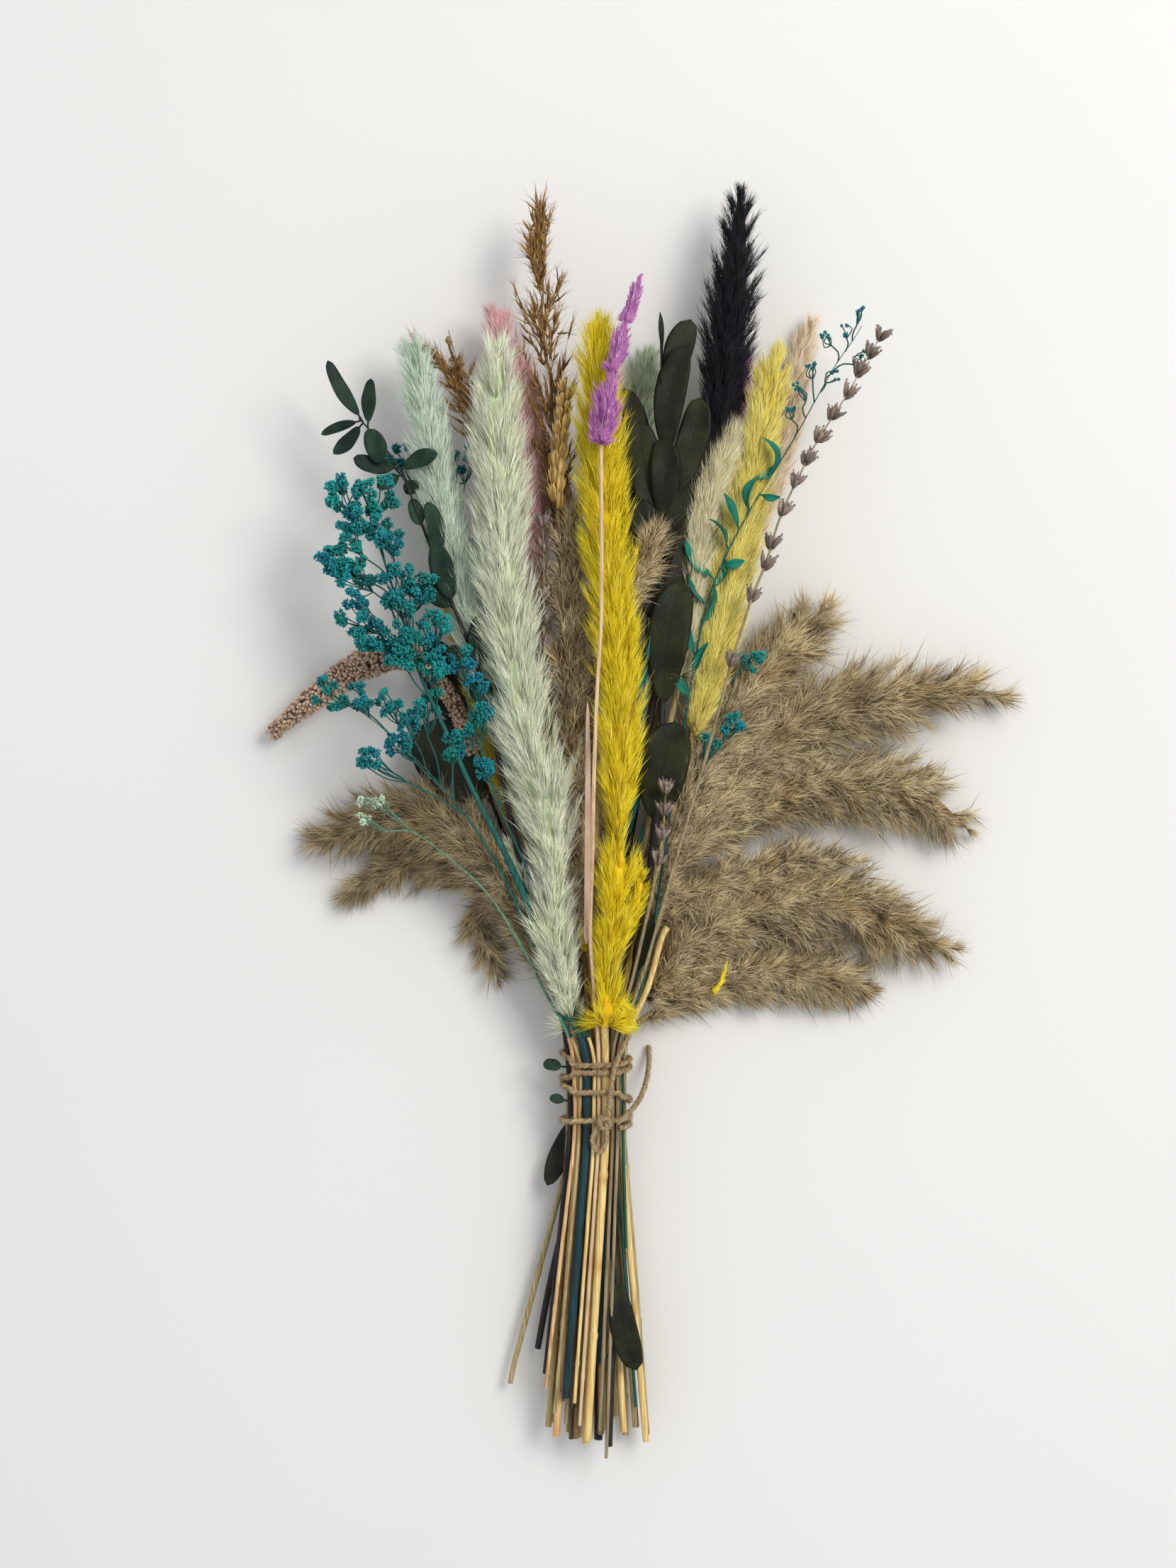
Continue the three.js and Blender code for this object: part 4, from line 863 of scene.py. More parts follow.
def leathery(name, slot, base, light, fleck, vein, veins):
    """A finish for leaves, with veins read off the tints that a blade carries."""
    material, tree, surface = new_material(name, Specular_IOR_Level=0.2)
    along, across, chance, where = read_tint(tree)
    cloud = noise(tree, where, 90.0, 5.0)
    grit = noise(tree, where, 1800.0, 2.0)
    away = reckon(tree, "ABSOLUTE", reckon(tree, "SUBTRACT", across, 0.5))
    rib = reckon(tree, "LESS_THAN", away, 0.022)
    slanted = reckon(tree, "MULTIPLY_ADD", away, -0.55, along)
    wave = reckon(tree, "SINE", reckon(tree, "MULTIPLY", slanted, 75.0))
    side_vein = stretch(tree, wave, 0.86, 1.0)
    vein_share = reckon(tree, "MAXIMUM", rib, reckon(tree, "MULTIPLY", side_vein, 0.4))
    colour = blend(tree, stretch(tree, cloud, 0.4, 0.65), ink(base), ink(light))
    for mask, share, over in ((stretch(tree, grit, 0.64, 0.7), 0.5, fleck), (vein_share, veins, vein),
                              (stretch(tree, away, 0.46, 0.5), 0.6, vein)):
        colour = blend(tree, reckon(tree, "MULTIPLY", mask, share), colour, ink(over))
    bright = reckon(tree, "MULTIPLY_ADD", chance, 0.5, 0.75)
    shade = add(tree, "HueSaturation", {"Value": bright, "Color": colour})
    rough = reckon(tree, "MULTIPLY_ADD", cloud, 0.35, 0.38)
    height = reckon(tree, "MULTIPLY_ADD", vein_share, -0.8, reckon(tree, "MULTIPLY", cloud, 1.2))
    height = reckon(tree, "MULTIPLY_ADD", grit, 0.3, height)
    lay_on(tree, surface, shade.outputs[0], height, 0.5, 0.0004, rough)
    return material, slot


def blade(gather, rng, base, tip, width, roll=0.0, bare=0.1, swell=0.7, blunt=0.42, fold=0.12,
          curl=0.06, rows=18, wave=0.03):
    """A thin closed leaf from base to tip with its stem. swell and blunt shape its two ends."""
    ahead = unit(tip - base)
    across = unit(np.cross([0, 0, 1.0], ahead))
    over = np.cross(ahead, across)
    turn = math.radians(roll)
    across, over = (across * math.cos(turn) + over * math.sin(turn),
                    over * math.cos(turn) - across * math.sin(turn))
    long = np.linalg.norm(tip - base)
    neck = base + (tip - base) * bare
    u = np.linspace(0.0, 1.0, rows)
    shape = np.maximum(u, 1e-4) ** swell * (1 - u) ** blunt
    half = np.maximum(width * 0.5 * MM * shape / shape.max(), 0.16 * MM)
    v = np.linspace(-1, 1, LEAF_COLUMNS)
    bow = rng.uniform(-1, 1) * curl * long
    sway = rng.uniform(-0.05, 0.05) * long
    phase = rng.random() * 6
    middle = neck + (tip - neck) * u[:, None] + over * (bow * (4 * u * (1 - u)))[:, None]
    middle = middle + across * (sway * 4 * u * (1 - u))[:, None]
    rise = fold * half[:, None] * np.abs(v)[None] ** 1.3
    rise = rise + half[:, None] * wave * 5 * np.sin(u[:, None] * 9 + phase + v[None] * 1.5) * v[None] ** 2
    surface = middle[:, None] + across * (half[:, None] * v[None])[..., None] + over * rise[..., None]
    thick = LEAF_THICK * (1 - np.abs(v) ** 3 * 0.8)[None, :, None]
    top, under = surface + over * thick, surface - over * thick
    n, low, chance = len(v), rows * len(v), rng.random()
    along, across_it = np.meshgrid(u, v * 0.5 + 0.5, indexing="ij")
    tints = np.stack([along, across_it, np.full((rows, n), chance)], -1).reshape(-1, 3)
    k, j = np.meshgrid(np.arange(rows - 1), np.arange(n - 1), indexing="ij")
    a = (k * n + j).ravel()
    up = np.concatenate([np.stack([a, a + 1, a + n], 1), np.stack([a + 1, a + n + 1, a + n], 1)])
    rim = np.array([*range(0, n), *range(2 * n - 1, low, n), *range(low - 2, low - n - 1, -1),
                    *range(low - 2 * n, 0, -n)])
    nxt = np.roll(rim, -1)
    wall = np.concatenate([np.stack([rim, rim + low, nxt], 1), np.stack([nxt, rim + low, nxt + low], 1)])
    points = np.concatenate([top.reshape(-1, 3), under.reshape(-1, 3)])
    points[:, 2] = np.clip(points[:, 2], 0.15 * MM, BOX_TOP)
    flip = np.dot(np.cross(points[1] - points[0], points[n] - points[0]), over) < 0
    faces = np.concatenate([up, up[:, ::-1] + low, wall])
    gather.add(points, faces[:, ::-1] if flip else faces, np.concatenate([tints, tints]))
    if bare > 0.02:
        stalk = smooth_line([base, base + (neck - base) * 0.5 + over * 0.2 * MM, middle[1]], 1.5 * MM)
        tube(gather, stalk, 0.4 * MM, 6, (0.5, 0.5, chance))


LEAF_FINISHES = {
    "dark": leathery("eucalyptus_dark_leaf", "eucalyptus_dark", "15170A", "2A2D15", "43462A", "0A0C05", 0.4),
    "small": leathery("eucalyptus_small_leaf", "eucalyptus_green", "142A1E", "284433", "406048", "0C160E",
                      0.35),
    "round": leathery("eucalyptus_round_leaf", "eucalyptus_dark", "1E2016", "34372A", "4A4C3E", "101208",
                      0.35),
    "teal": leathery("teal_leaf", "stalk_teal", "0A4A50", "146668", "2A8080", "06282C", 0.4),
    "mist": leathery("mist_leaf", "mist_teal", "0C6652", "1C8470", "3C9A80", "0A443A", 0.3),
    "peach": leathery("dried_blade", "plume_peach", "D9B397", "E8CDB4", "F2DEC8", "B58C70", 0.4),
}
LEAVES = {
    # node: [y on the stalk, tip x, tip y, width, lift, roll, share of bare stem], all from the tie
    "eucalyptus_round": [(118, -70, 150, 27, 2, 0, 0.1), (145, -66, 184, 17, 1), (125, -32, 146, 18, 1),
                         (0, -19.5, -34, 8.5, 3, 15, 0.25)],
    "eucalyptus_small": [
        (268, -105, 292, 6, 3, 20), (266, -88, 285, 6, 3, -20), (266, -84, 252, 8.5, 3, 0, 0.02),
        (268, -103, 256, 6, -1, 15), (269, -108, 264, 4, -4), (250, -95, 254, 7, 2, 10),
        (250, -62, 256, 7, 3, -10), (248, -86, 243, 6, -2, 20), (246, -71, 241, 6.5, -3),
        (240, -69, 228, 6, 1), (213, -66, 237, 8, 2, 30), (196, -63, 221, 9.5, 2),
        (195, -68, 205, 8, -2), (170, -45, 193, 9, 4), (172, -58, 180, 8, -3, 10),
        (156, -47, 168, 9.5, 3, 10), (14, -21, 15.5, 5, 1, 20, 0.3), (0.5, -18.5, 2, 4, 1, 20, 0.3)],
    "teal_reed": [(60, 19, 112, 4.5, 6, 20, 0.05), (104, 25, 146, 5, 9, -15, 0.05),
                  (130, 21, 184, 4.5, 10, 10, 0.05), (140, 27, 200, 3.5, 10, 35, 0.05)],
    "eucalyptus_large": [
        (262, 37, 309, 11.5, -2, 10, 0.35), (238, 34, 298, 12.5, 4, 0, 0.3),
        (228, 41, 278, 12.5, 1, 0, 0.22), (222, 17, 268, 14, 2, 0, 0.15),
        (240, 11, 282, 9, -2, 10, 0.25), (206, 16, 238, 13, 0, 0, 0.15), (212, 35, 246, 12, -3, 0, 0.15),
        (258, 25, 311, 7, 3, 76, 0.35), (236, 44, 262, 11, -3, 10, 0.2), (214, 6, 246, 12, -3, 0, 0.3),
        (182, 14, 222, 13, -3, 0, 0.2), (186, 38, 226, 11, -4, 10, 0.2), (228, 26, 262, 12, 2, 0, 0.1),
        (200, 30, 232, 6, 3, 50, 0.1), (154, 33, 206, 16.5, 6, 0, 0.08),
        (108, 31, 151, 19.5, 6, 0, 0.08), (50, 22, 73, 8, 6, 0, 0.1), (-66, 16, -106, 11, 2.5, 0, 0.08)],
}
BRANCHES = {
    # node: leaves, stalk, swell, blunt
    "eucalyptus_round": ("round", DARK, 0.55, 0.5),
    "eucalyptus_small": ("small", DARK, 0.55, 0.5),
    "teal_reed": ("teal", TEAL, 0.35, 0.9),
    "eucalyptus_large": ("dark", DARK, 0.62, 0.42),
}


def on_stalk(line, y):
    """The point of a stalk at a height given in mm from the tie."""
    return read_off(height_of(y), line[:, 1], line)


def beside(base, x, y, lift):
    """A point given in mm from the tie, lift mm higher than base."""
    return np.array([*place(x, y)[:2], base[2] + lift * MM])


def leaf_rows(gather, rng, line, leaves, **shape):
    for y, x, tip_y, width, lift, *rest in leaves:
        roll, bare = rest + [0, 0.12][len(rest):]
        base = on_stalk(line, y)
        blade(gather, rng, base, beside(base, x, tip_y, lift), width, roll, bare, **shape)


# Where the leaves and flower branches start, their stalks are thinner than what they carry.
UPPER_STALKS = {
    "eucalyptus_round": [(-36, 105), (-49, 140), (-57, 165)],
    "eucalyptus_small": [(-33, 110), (-41, 150), (-47, 174), (-55, 194), (-62, 212), (-69, 230),
                         (-77, 250), (-86, 262), (-93, 270)],
    "teal_reed": [(5, 50), (11, 100), (17, 158), (20, 190), (21, 208)],
    "eucalyptus_large": [(15, 52), (23, 108), (26, 160), (26, 205), (25, 235), (27, 262), (26, 288)],
    "mist_spray_back": [(-24, 110), (-43, 175), (-51, 215), (-57, 258)],
    "statice_sprig": [(-40, 200), (-47, 250), (-53, 285), (-59, 308)],
    "mist_spray_low_right": [(42, 130), (52, 160), (60, 182)],
    "mist_sprig_right": [(20, 55), (30, 120), (38, 170), (43, 196), (49, 212), (56, 226), (64, 240),
                         (71, 251), (77, 261), (86, 277), (94, 291), (101, 301), (104, 306)],
    "mist_sprig_pale": [(-43, 84), (-58, 98), (-71, 108), (-82, 115)],
    "mist_spray_low": [(-41, 99), (-53, 117), (-69, 135), (-84, 149), (-96, 158)],
    "mist_spray_main": [(-35, 98), (-47, 122), (-58, 146), (-68, 168), (-75, 190), (-82, 212),
                        (-88, 230)],
    "mist_spray_middle": [(-29, 98), (-38, 118), (-44, 136), (-49, 156)],
}


def leafy_plant(node):
    """A leafy or branching node's own stalk, without what it carries."""
    line, halves = traced(node)
    radius = float(np.median(halves[3:22, 0])) * UNDER_BARK
    upper = UPPER_STALKS[node]
    lower = line[:, 1] < height_of(upper[0][1] - 12)
    below = line[lower & (np.cumsum(~lower) == 0)]
    heights = np.interp([height_of(y) for _, y in upper], line[:, 1], line[:, 2])
    heights = np.minimum(heights, np.median(heights) + 2 * MM)
    above = [[*place(x, y)[:2], z] for (x, y), z in zip(upper, heights)]
    return smooth_line(np.concatenate([below[:-1:5], above]), SPINE_STEP), radius


for seed, (node, (look, stalk, swell, blunt)) in enumerate(BRANCHES.items()):
    line, radius = leafy_plant(node)
    rng = np.random.default_rng(140 + seed)
    stalk_under(node, 150 + seed, stalk, line, radius, len(line) * 55 // 100)
    leaves = Gather()
    leaf_rows(leaves, rng, line, LEAVES[node], swell=swell, blunt=blunt)
    leaves.finish(f"{node}_leaves", node, LEAF_FINISHES[look])

# ------------------------------------------------------------------ mist sprays
# Sea lavender dyed teal and left pale: wiry forked stems that end in heads of tiny frilly flowers
# with papery petals. The thick teal stalk at the tie carries the largest spray.
HUSK_CLEARANCE = 0.12 * MM


def husks(gather, rng, root, tip, width, flat=0.5, tuft=0.5, odd=False, bulge=0.5):
    """Closed pointed scales from root to tip, used for petals, grains and calyces. width is mm."""
    count = len(root)
    chance = np.where(odd, 1.0, rng.random(count) * 0.9)
    ahead = unit(tip - root)
    across = unit(np.cross(ahead, rng.normal(size=(count, 3))))
    over = np.cross(ahead, across)
    width = np.broadcast_to(width, count)[:, None] * MM
    layers = [(root, 0)]
    for t, share in ((bulge * 0.5, 0.8), (bulge + 0.22, 0.85)):
        middle = root + (tip - root) * t
        for a, b in ((1, 0), (0, flat), (-1, 0), (0, -flat)):
            spot = middle + across * (width * share * a / 2) + over * (width * share * b / 2)
            layers.append((spot, t))
    layers = [(points * [1, 1, 0] + np.maximum(points, HUSK_CLEARANCE) * [0, 0, 1], t)
              for points, t in [*layers, (tip, 1)]]
    shape = []
    for k in range(4):
        m = (k + 1) % 4
        shape += [(0, 1 + m, 1 + k), (1 + k, 1 + m, 5 + k), (1 + m, 5 + m, 5 + k), (5 + k, 5 + m, 9)]
    strew(gather, layers, shape, chance, tuft)


PETALS = 46  # in each little ball of flowers


def frilly_head(flowers, stems, rng, start, centre, radius, balls, ball):
    """A forked head of frilly ball-shaped flowers round centre, on thin stems. Sizes are mm."""
    reach = centre - start
    fork = start + reach * 0.6 + rng.normal(size=3) * 0.8 * MM
    arm = smooth_line([start, start + reach * 0.3 + rng.normal(size=3) * 1.0 * MM, fork], 2 * MM)
    tube(stems, arm, 0.34 * MM, 5, (0.5, rng.random(), 0.0))
    spots = unit(rng.normal(size=(balls, 3))) * rng.uniform(0.35, 1.0, (balls, 1)) ** 0.5
    spots = within_box(centre + spots * np.array([1.0, 1.0, 0.6]) * radius * 1.4 * MM, 2.0)
    spots[:, 2] = np.maximum(spots[:, 2], ball * 0.8 * MM)
    for spot in spots:
        bend = fork + (spot - fork) * 0.5 + rng.normal(size=3) * 1.0 * MM
        tube(stems, smooth_line([fork, bend, spot], 1.5 * MM), 0.24 * MM, 4, (0.5, rng.random(), 0.0))
        size = ball * rng.uniform(0.7, 1.2) * MM
        out = unit(rng.normal(size=(PETALS, 3)))
        shell = rng.uniform(0.35, 0.8, (PETALS, 1)) * size
        root = spot + out * shell * 0.5
        ruffled = unit(out + rng.normal(size=out.shape) * 0.5)
        tip = root + ruffled * size * rng.uniform(0.4, 0.75, (PETALS, 1))
        husks(flowers, rng, root, within_box(tip), ball * 0.52, 0.35, rng.random(), bulge=0.75)


MIST = {
    "teal": strands("mist_florets", "mist_teal", "045C58", "169890", "0A7290", odd="6FC0AE", bump=0.3,
                    Strands=0.6, Tufts=0.5, Patches=0.8),
    "pale": strands("mist_florets_pale", "mist_pale", "8FB79B", "DCE8CF", "B9CFAE", odd="F2EFD8",
                    bump=0.3, Strands=0.4, Tufts=0.4, Patches=0.6),
    "statice": strands("statice_husks", "statice", "7E6A46", "B9A077", "93805A", odd="D8C7A0", bump=0.3,
                       Strands=0.6, Tufts=0.4, Patches=0.6),
}
PALE_STEM = bark("pale_green_stem", "stalk_straw", "6E9478", "42705C", "6E7E58", "C9CFAE")
SPRAYS = {
    # node: flowers, stems, balls in a head, their radius, then each head's height on the stalk, its x,
    # y and lift and its own radius, all in mm
    "mist_spray_back": ("teal", GREEN_TEAL, 7, 2.5, [
        (200, -79, 258, 1, 4), (225, -67, 265, 1.5, 5), (235, -54, 257, 1, 4.2), (175, -50, 222, 4, 4)]),
    "statice_sprig": ("statice", BROWN, 4, 1.5, [
        (278, -56, 294, 1, 2.6), (270, -49, 290, 1, 2.8), (290, -60, 302, 2, 2)]),
    "mist_spray_low_right": ("teal", GREEN_TEAL, 6, 2.3, [
        (130, 53, 150, 8, 3.6), (120, 45, 142, 6, 3), (165, 61, 176, 5, 3.6)]),
    "mist_sprig_right": ("teal", GREEN_TEAL, 5, 1.0, [
        (296, 97, 304, 1, 2.2), (300, 104, 312, 1, 1.6), (288, 105, 294, 1, 2), (270, 79, 282, 1, 1.8),
        (262, 76, 274, 1, 1.6), (292, 90, 302, 1, 1.8), (280, 94, 287, 1, 1.8),
        (276, 84, 291, 1, 1.5)]),
    "mist_sprig_pale": ("pale", PALE_STEM, 3, 2.1, [
        (112, -91, 121, 0, 2.6), (110, -85, 122, 2, 2.4), (106, -91, 112, 0, 2.4)]),
    "mist_spray_low": ("teal", GREEN_TEAL, 9, 2.4, [
        (152, -104, 162, 1, 5.5), (146, -94, 160, 2, 4.4), (138, -82, 158, 2, 4.4),
        (126, -65, 158, 2, 4.4), (124, -77, 142, 2, 4), (114, -88, 136, 0, 4), (132, -72, 150, 2, 4),
        (120, -56, 141, 2, 3.6)]),
    "mist_spray_main": ("teal", GREEN_TEAL, 14, 2.7, [
        (222, -99, 238, 1, 5.4), (216, -85, 239, 3, 6.2), (204, -96, 221, 1, 5), (200, -80, 223, 3, 5.6),
        (190, -93, 207, 2, 5.2), (184, -76, 206, 3, 5.6), (176, -93, 192, 2, 5.6),
        (168, -77, 191, 4, 6.2), (160, -62, 190, 2, 4.8), (160, -80, 178, 3, 4.4), (172, -87, 184, 3, 5),
        (180, -68, 203, 3, 4.6), (164, -70, 178, 4, 4.6), (196, -102, 213, 0, 4.2),
        (212, -91, 230, 4, 4.4), (156, -63, 172, 4, 3.8)]),
    "mist_spray_middle": ("teal", GREEN_TEAL, 8, 2.6, [
        (146, -54, 176, 2, 5), (134, -45, 153, 2, 3.6), (128, -53, 148, 1, 3.4), (116, -44, 134, 1, 2.6),
        (140, -47, 166, 2, 3.4)]),
}
SPRIG_LEAVES = [
    (206, 35, 222, 4.16, 2, 30), (212, 58, 214, 3.9, 1, 20), (226, 50, 240, 4.16, 3, 40),
    (240, 72, 239, 3.38, 2, 40), (246, 65, 262, 4.42, 3, 50), (188, 46, 204, 4.68, 2, 60),
    (176, 32, 196, 4.42, 2, 20), (168, 44, 182, 3.9, 3, -40), (196, 36, 208, 3.9, 3, 60),
    (202, 50, 216, 4.16, 1, -50), (218, 44, 230, 3.64, 3, 70), (232, 64, 247, 3.9, 2, -40),
    (252, 62, 246, 3.38, 2, 30), (160, 30, 172, 3.9, 2, 10)]
# Below the tie most sprays' stalks took no dye.
FEET = {
    "mist_spray_back": CANE,
    "mist_sprig_pale": STRAW_PINK,
    "mist_spray_low": CANE,
    "mist_spray_middle": STRAW,
    "mist_spray_main": TEAL,
}
THICK_JOINTS = {"mist_spray_main": [37 * MM, 118 * MM]}  # up from the foot
for seed, (node, (look, stalk, balls, ball, heads)) in enumerate(SPRAYS.items()):
    rng = np.random.default_rng(170 + seed)
    line, radius = leafy_plant(node)
    stems, flowers = Gather(), Gather()
    split = 0
    if node in FEET:
        split = int(np.argmax(line[:, 1] > height_of(26)))
        stalk_under(node, 230 + seed, FEET[node], line[: split + 1], radius, split + 1,
                    knots=THICK_JOINTS.get(node))
    upper = line[split:]
    stem(stems, rng, upper, radius * 0.85, head=len(upper) * 30 // 100, sides=8)
    for y, x, head_y, lift, size in heads:
        start = on_stalk(line, min(y, (line[-1, 1] - tie_y) / MM))
        frilly_head(flowers, stems, rng, start, beside(start, x, head_y, lift), size, balls, ball)
    stems.finish(f"{node}_stems", node, stalk)
    flowers.finish(f"{node}_flowers", node, MIST[look])
    if node == "mist_sprig_right":
        narrow = Gather()
        leaf_rows(narrow, rng, line, SPRIG_LEAVES, swell=0.6, blunt=0.7, curl=0.3, fold=0.5, rows=14)
        narrow.finish(f"{node}_leaves", node, LEAF_FINISHES["mist"])

# ------------------------------------------------------------------ lavender and seed heads
# Dried lavender with whorls of grey-mauve calyces, an ear of wheat with two rows of plump grains, a
# nodding millet spike, two open bronze grasses, and a dyed purple tail grass with three soft heads.
LAVENDER = strands("lavender_calyces", "lavender_dried", "584A42", "988678", "786866", odd="6A5A80",
                   bump=0.4, Strands=0.5, Tufts=0.4, Patches=0.6)
LAVENDER_STEM = bark("lavender_stem", "stalk_straw", "A2916F", "7B6B50", "6A5B48", "CDBE98")
CALYCES = 11  # in each whorl
WHORLS = {
    "lavender_left": [167, 179, 190, 200, 209, 218, 227],
    "lavender_middle": [97, 106, 115, 123],
    "lavender_right": [172, 198, 210, 219, 232, 242, 251, 260, 268, 277, 286, 293, 299],
}
for seed, (node, levels) in enumerate(WHORLS.items()):
    rng = np.random.default_rng(190 + seed)
    line, _, _ = plant(node, 195 + seed, LAVENDER_STEM, levels[0] - 8, sides=7)
    calyces = Gather()
    ahead = heading_of(line)
    for y in levels:
        i = int(np.argmin(np.abs(line[:, 1] - height_of(y))))
        some = unit(np.cross(ahead[i], [0.2, 0.1, 1.0]))
        other = np.cross(ahead[i], some)
        angle = np.linspace(0, 2 * math.pi, CALYCES, endpoint=False) + rng.random(CALYCES)
        out = some * np.cos(angle)[:, None] + other * np.sin(angle)[:, None]
        root = line[i] + ahead[i] * rng.uniform(-1.6, 0.6, (CALYCES, 1)) * MM + out * 0.3 * MM
        long = rng.uniform(4.8, 6.8, (CALYCES, 1)) * MM
        tip = root + (out * rng.uniform(0.4, 0.7, (CALYCES, 1)) + ahead[i]) * long * 0.85
        husks(calyces, rng, root, tip, 2.1, 0.85, rng.random(), bulge=0.55)
        lips = np.repeat(tip, 4, 0)
        away = unit(rng.normal(size=lips.shape) * 0.6 + np.repeat(unit(tip - root), 4, 0))
        needles(calyces, rng, lips - away * 0.4 * MM, lips, lips + away * 0.9 * MM, 0.5 * MM,
                rng.random(), odd=rng.random(len(lips)) < 0.3)
        fuzz = rng.integers(0, CALYCES, CALYCES * 14)
        spot = root[fuzz] + (tip - root)[fuzz] * rng.random((len(fuzz), 1))
        away = unit(rng.normal(size=spot.shape) + out[fuzz])
        needles(calyces, rng, spot, spot + away * 0.6 * MM, spot + away * 1.3 * MM, 0.12 * MM)
    calyces.finish(f"{node}_calyces", node, LAVENDER)

WHEAT = strands("wheat_grains", "wheat", "C49A48", "F0D088", "DCB460", odd="8C6A30", bump=0.5,
                Strands=0.5, Patches=0.5)
line, _, head = plant("wheat_ear", 200, BROWN, 232)
rng = np.random.default_rng(201)
ear = Gather()
ahead, up = heading_of(line), np.array([0, 0, 1.0])
run = run_of(line)
for row, s in enumerate(np.arange(run[head] + 1 * MM, run[-1] - 5 * MM, 3.1 * MM)):
    centre = read_off(s, run, line)
    i = int(np.searchsorted(run, s))
    side = unit(np.cross(ahead[i], up)) * (-1) ** row
    size = 0.7 + 0.3 * math.sin(math.pi * min(1, (s - run[head]) / (run[-1] - run[head]) + 0.2))
    for lean, rise in ((1.0, 0.1), (0.62, 0.7), (0.35, 1.0), (0.55, -0.6)):
        out = side * lean + up * rise
        root = centre + out * 0.9 * MM
        tip = root + ahead[i] * 9.0 * MM * size + out * 2.1 * MM
        husks(ear, rng, root[None], tip[None], 2.5 * size, 0.75, rng.random(), bulge=0.4)
        outer_tip = (tip + out * 0.8 * MM)[None] - ahead[i] * 1.6 * MM
        husks(ear, rng, root[None] + out * 0.4 * MM, outer_tip, 2.4 * size, 0.5, rng.random(),
              odd=rng.random() < 0.3, bulge=0.4)
        beard = tip + ahead[i] * rng.uniform(2.5, 5) * MM + out * 0.9 * MM
        needles(ear, rng, (tip - ahead[i] * MM)[None], tip[None], beard[None], 0.3 * MM)
ear.finish("wheat_ear_grains", "wheat_ear", WHEAT)

MILLET = strands("millet_seeds", "millet", "A88467", "DABEA6", "C2A084", odd="8A664C", bump=0.2,
                 Strands=0.5, Tufts=0.3, Patches=0.5)
SEEDS = 2300
line, halves, head = plant("millet_spike", 205, CANE, 140)
rng = np.random.default_rng(206)
spike = Gather()
line, halves = line[head:], np.maximum(halves[head:], 3.2 * MM)
tangent, side, top = level_frames(line)
pick = rng.choice(len(line), SEEDS, p=halves[:, 0] / halves[:, 0].sum())
angle, reach = rng.uniform(0, 2 * math.pi, SEEDS), rng.uniform(0.25, 1.0, SEEDS) ** 0.45
seeds = (line[pick] + tangent[pick] * rng.uniform(-1, 1, (SEEDS, 1)) * MM
         + side[pick] * (np.cos(angle) * halves[pick, 0] * reach)[:, None]
         + top[pick] * (np.sin(angle) * halves[pick, 1] * reach)[:, None])
seeds[:, 2] = np.maximum(seeds[:, 2], 1.2 * MM)
out = unit(seeds - line[pick])
husks(spike, rng, seeds - out * 0.8 * MM, seeds + out * 0.8 * MM, 1.75, 0.95, rng.random(SEEDS))
needles(spike, rng, line[pick], (line[pick] + seeds) / 2, seeds, 0.25 * MM, odd=True)
awn = rng.random(SEEDS) < 0.35
needles(spike, rng, seeds[awn], seeds[awn] + out[awn] * 1.2 * MM,
        seeds[awn] + (out[awn] + tangent[pick][awn]) * 1.8 * MM, 0.16 * MM)
spike.finish("millet_spike_seeds", "millet_spike", MILLET)

BRONZE = strands("bronze_spikelets", "grass_bronze", "6E4A20", "B48A4A", "906430", odd="4A3014",
                 bump=0.3, Strands=0.6, Tufts=0.4, Patches=0.5)
TWIGS = {
    "bronze_grass_tall": [(230, -24, 262, 1), (238, -7, 262, 1), (252, -28, 282, 1), (256, -8, 288, 1),
                          (272, -32, 302, 1), (276, -10, 306, 1), (292, -31, 318, 1), (296, -13, 322, 1)],
    "bronze_grass_side": [(258, -56, 266, 1), (266, -62, 274, 0), (272, -50, 290, 2), (280, -66, 288, 1)],
}
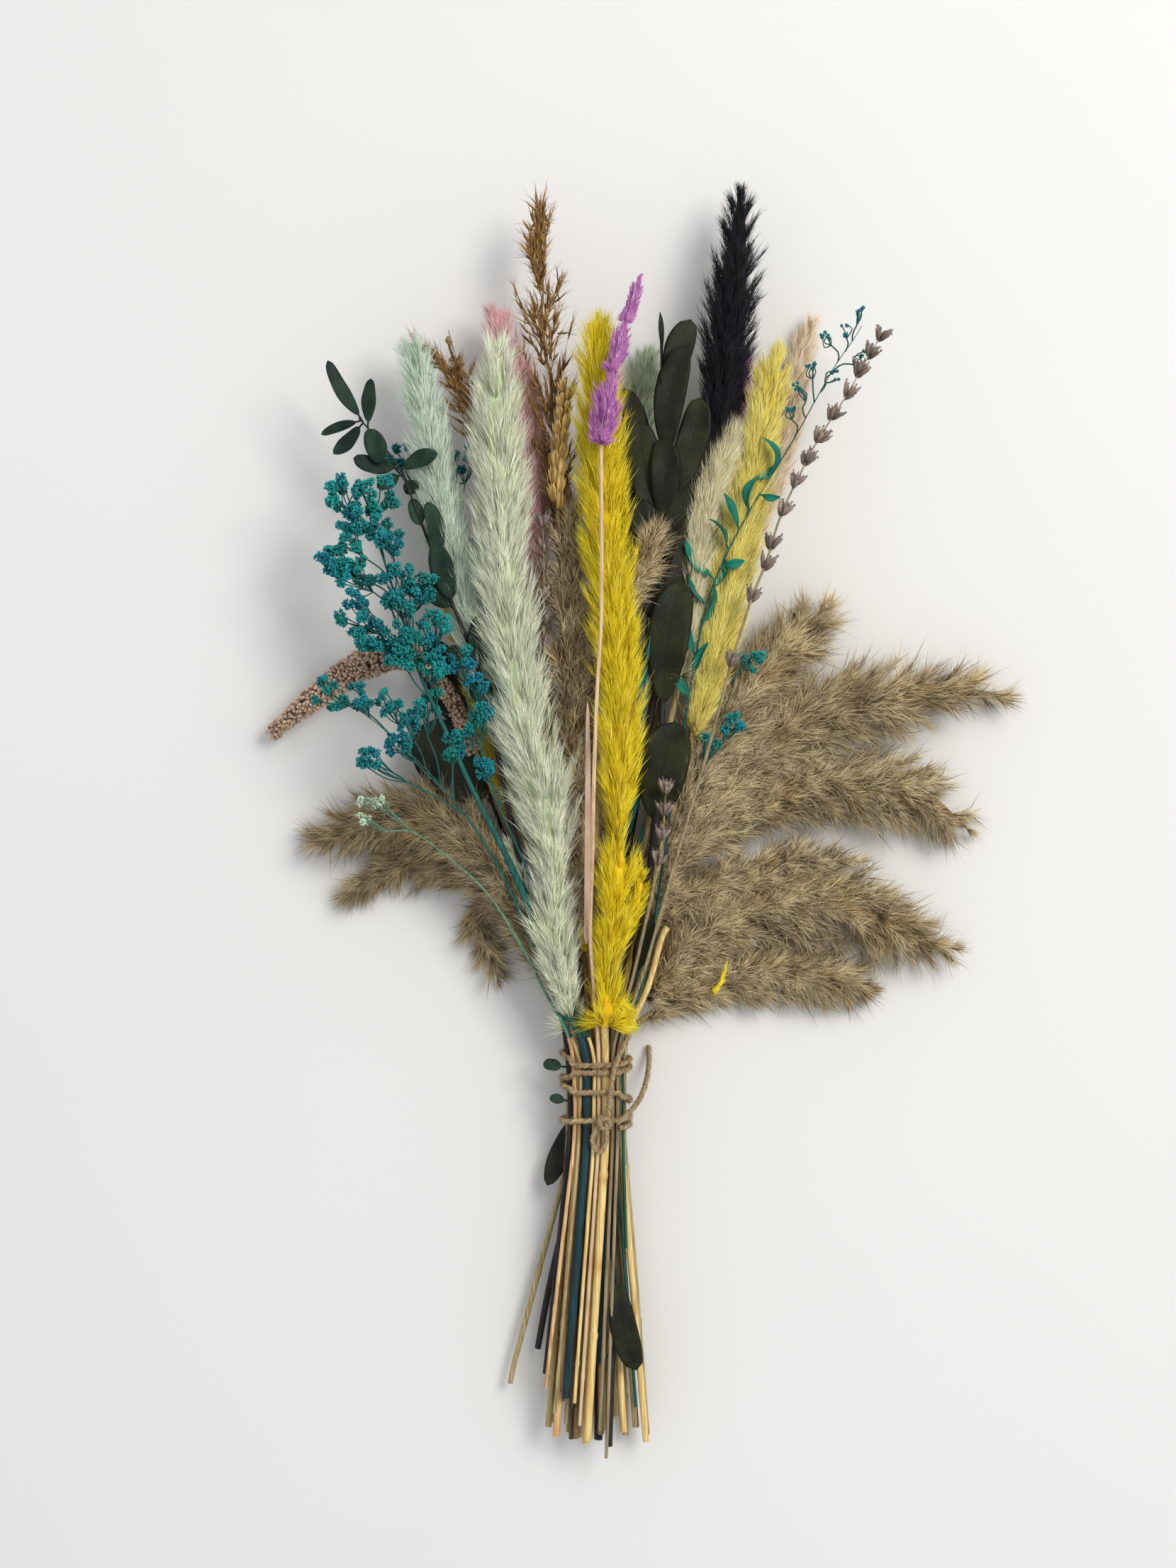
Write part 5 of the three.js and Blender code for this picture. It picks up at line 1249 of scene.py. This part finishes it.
# Node, head's start, branches, spikelets to a branch, and the head's reach in mm.
GRASSES = [("bronze_grass_tall", 226, 64, 9, 7.0), ("bronze_grass_side", 252, 26, 8, 4.0)]
for seed, (node, head_y, branches, per, widest) in enumerate(GRASSES):
    rng = np.random.default_rng(210 + seed)
    line, _, head = plant(node, 215 + seed, BROWN, head_y, sides=8)
    open_head = Gather()
    last = len(line) - 1
    share = (np.arange(head, last + 1) - head) / (last - head)
    reach = widest * MM * np.sin(math.pi * np.clip(share * 0.85 + 0.12, 0, 1)) ** 0.8
    s = rng.integers(head, last - 3, branches)
    tips = [line[i] + unit(rng.normal(size=3) * [1, 0.1, 0.55]) * reach[i - head] * rng.uniform(0.5, 1.1)
            + unit(line[i] - line[i - 1]) * 9 * MM for i in s]
    roots = [line[max(head - 3, i - 5)] for i in s]
    for y, x, tip_y, lift in TWIGS[node]:
        roots.append(on_stalk(line, y))
        tips.append(beside(roots[-1], x, tip_y, lift))
    roots, tips = np.array(roots), np.array(tips)
    bend = roots + (tips - roots) * 0.45 + unit(tips - roots)[:, [1, 0, 2]] * [0.6 * MM, 0, 0.3 * MM]
    needles(open_head, rng, roots, bend, tips, 0.5 * MM)
    pick = rng.integers(0, len(roots), len(roots) * per)
    u = rng.uniform(0.15, 1.0, (len(pick), 1))
    start = roots[pick] + (tips - roots)[pick] * u
    ahead = unit(tips - roots)[pick]
    way = unit(ahead + rng.normal(size=start.shape) * 0.28)
    long = rng.uniform(4.0, 7.5, (len(pick), 1)) * MM
    husks(open_head, rng, start, start + way * long, 1.15, 0.5, rng.random(len(pick)), bulge=0.35,
          odd=rng.random(len(pick)) < 0.12)
    fine = rng.integers(0, len(start), len(start) * 3)
    base = start[fine] + way[fine] * long[fine] * 0.6
    away = unit(way[fine] + rng.normal(size=base.shape) * 0.3)
    end = base + away * rng.uniform(4, 8, (len(fine), 1)) * MM
    needles(open_head, rng, base, base + away * 3 * MM, end, 0.16 * MM)
    open_head.finish(f"{node}_spikelets", node, BRONZE)

TAIL_HAIR = strands("purple_tail_hair", "plume_purple", "A0509A", "D890CE", "B866B0", odd="ECC4E6",
                    Tufts=0.3, Strands=0.3, Patches=0.5)
PINK_STEM = bark("pinkish_stem", "stalk_straw", "DEC49C", "C29C78", "B48C6A", "E8D4BC")
line, _, _ = plant("purple_tail_grass", 220, PINK_STEM, 256, sides=8)
tail_head = Gather()
rng = np.random.default_rng(221)
for low, high, most in ((255, 289, 6.6), (284, 307, 4.6), (302, 324, 3.4)):
    spikelet = line[(line[:, 1] > height_of(low)) & (line[:, 1] < height_of(high))]
    share = np.linspace(0, 1, len(spikelet))
    size = np.maximum(most * np.sin(math.pi * np.clip(share + 0.12, 0, 1)) ** 0.7, 0.8) * MM
    plume(tail_head, rng, spikelet, size, size * 0.85, 80, 70, sweep=18, hair=1.1 * most, thick=0.19,
          fan=8, odd=0.05, reach=0.9, core=0.55, arch=0.55)
tail_head.finish("purple_tail_heads", "purple_tail_grass", TAIL_HAIR)
strip = Gather()
base, tip = on_stalk(line, 64), on_stalk(line, 158)
base, tip = base + [-1.6 * MM, 0, -0.8 * MM], tip + [-3.4 * MM, 0, -1.5 * MM]
blade(strip, rng, base, tip, 2.4, 8, 0.0, swell=0.15, blunt=0.3, fold=0.4, curl=0.006, rows=34)
strip.finish("purple_tail_blade", "purple_tail_grass", LEAF_FINISHES["peach"])
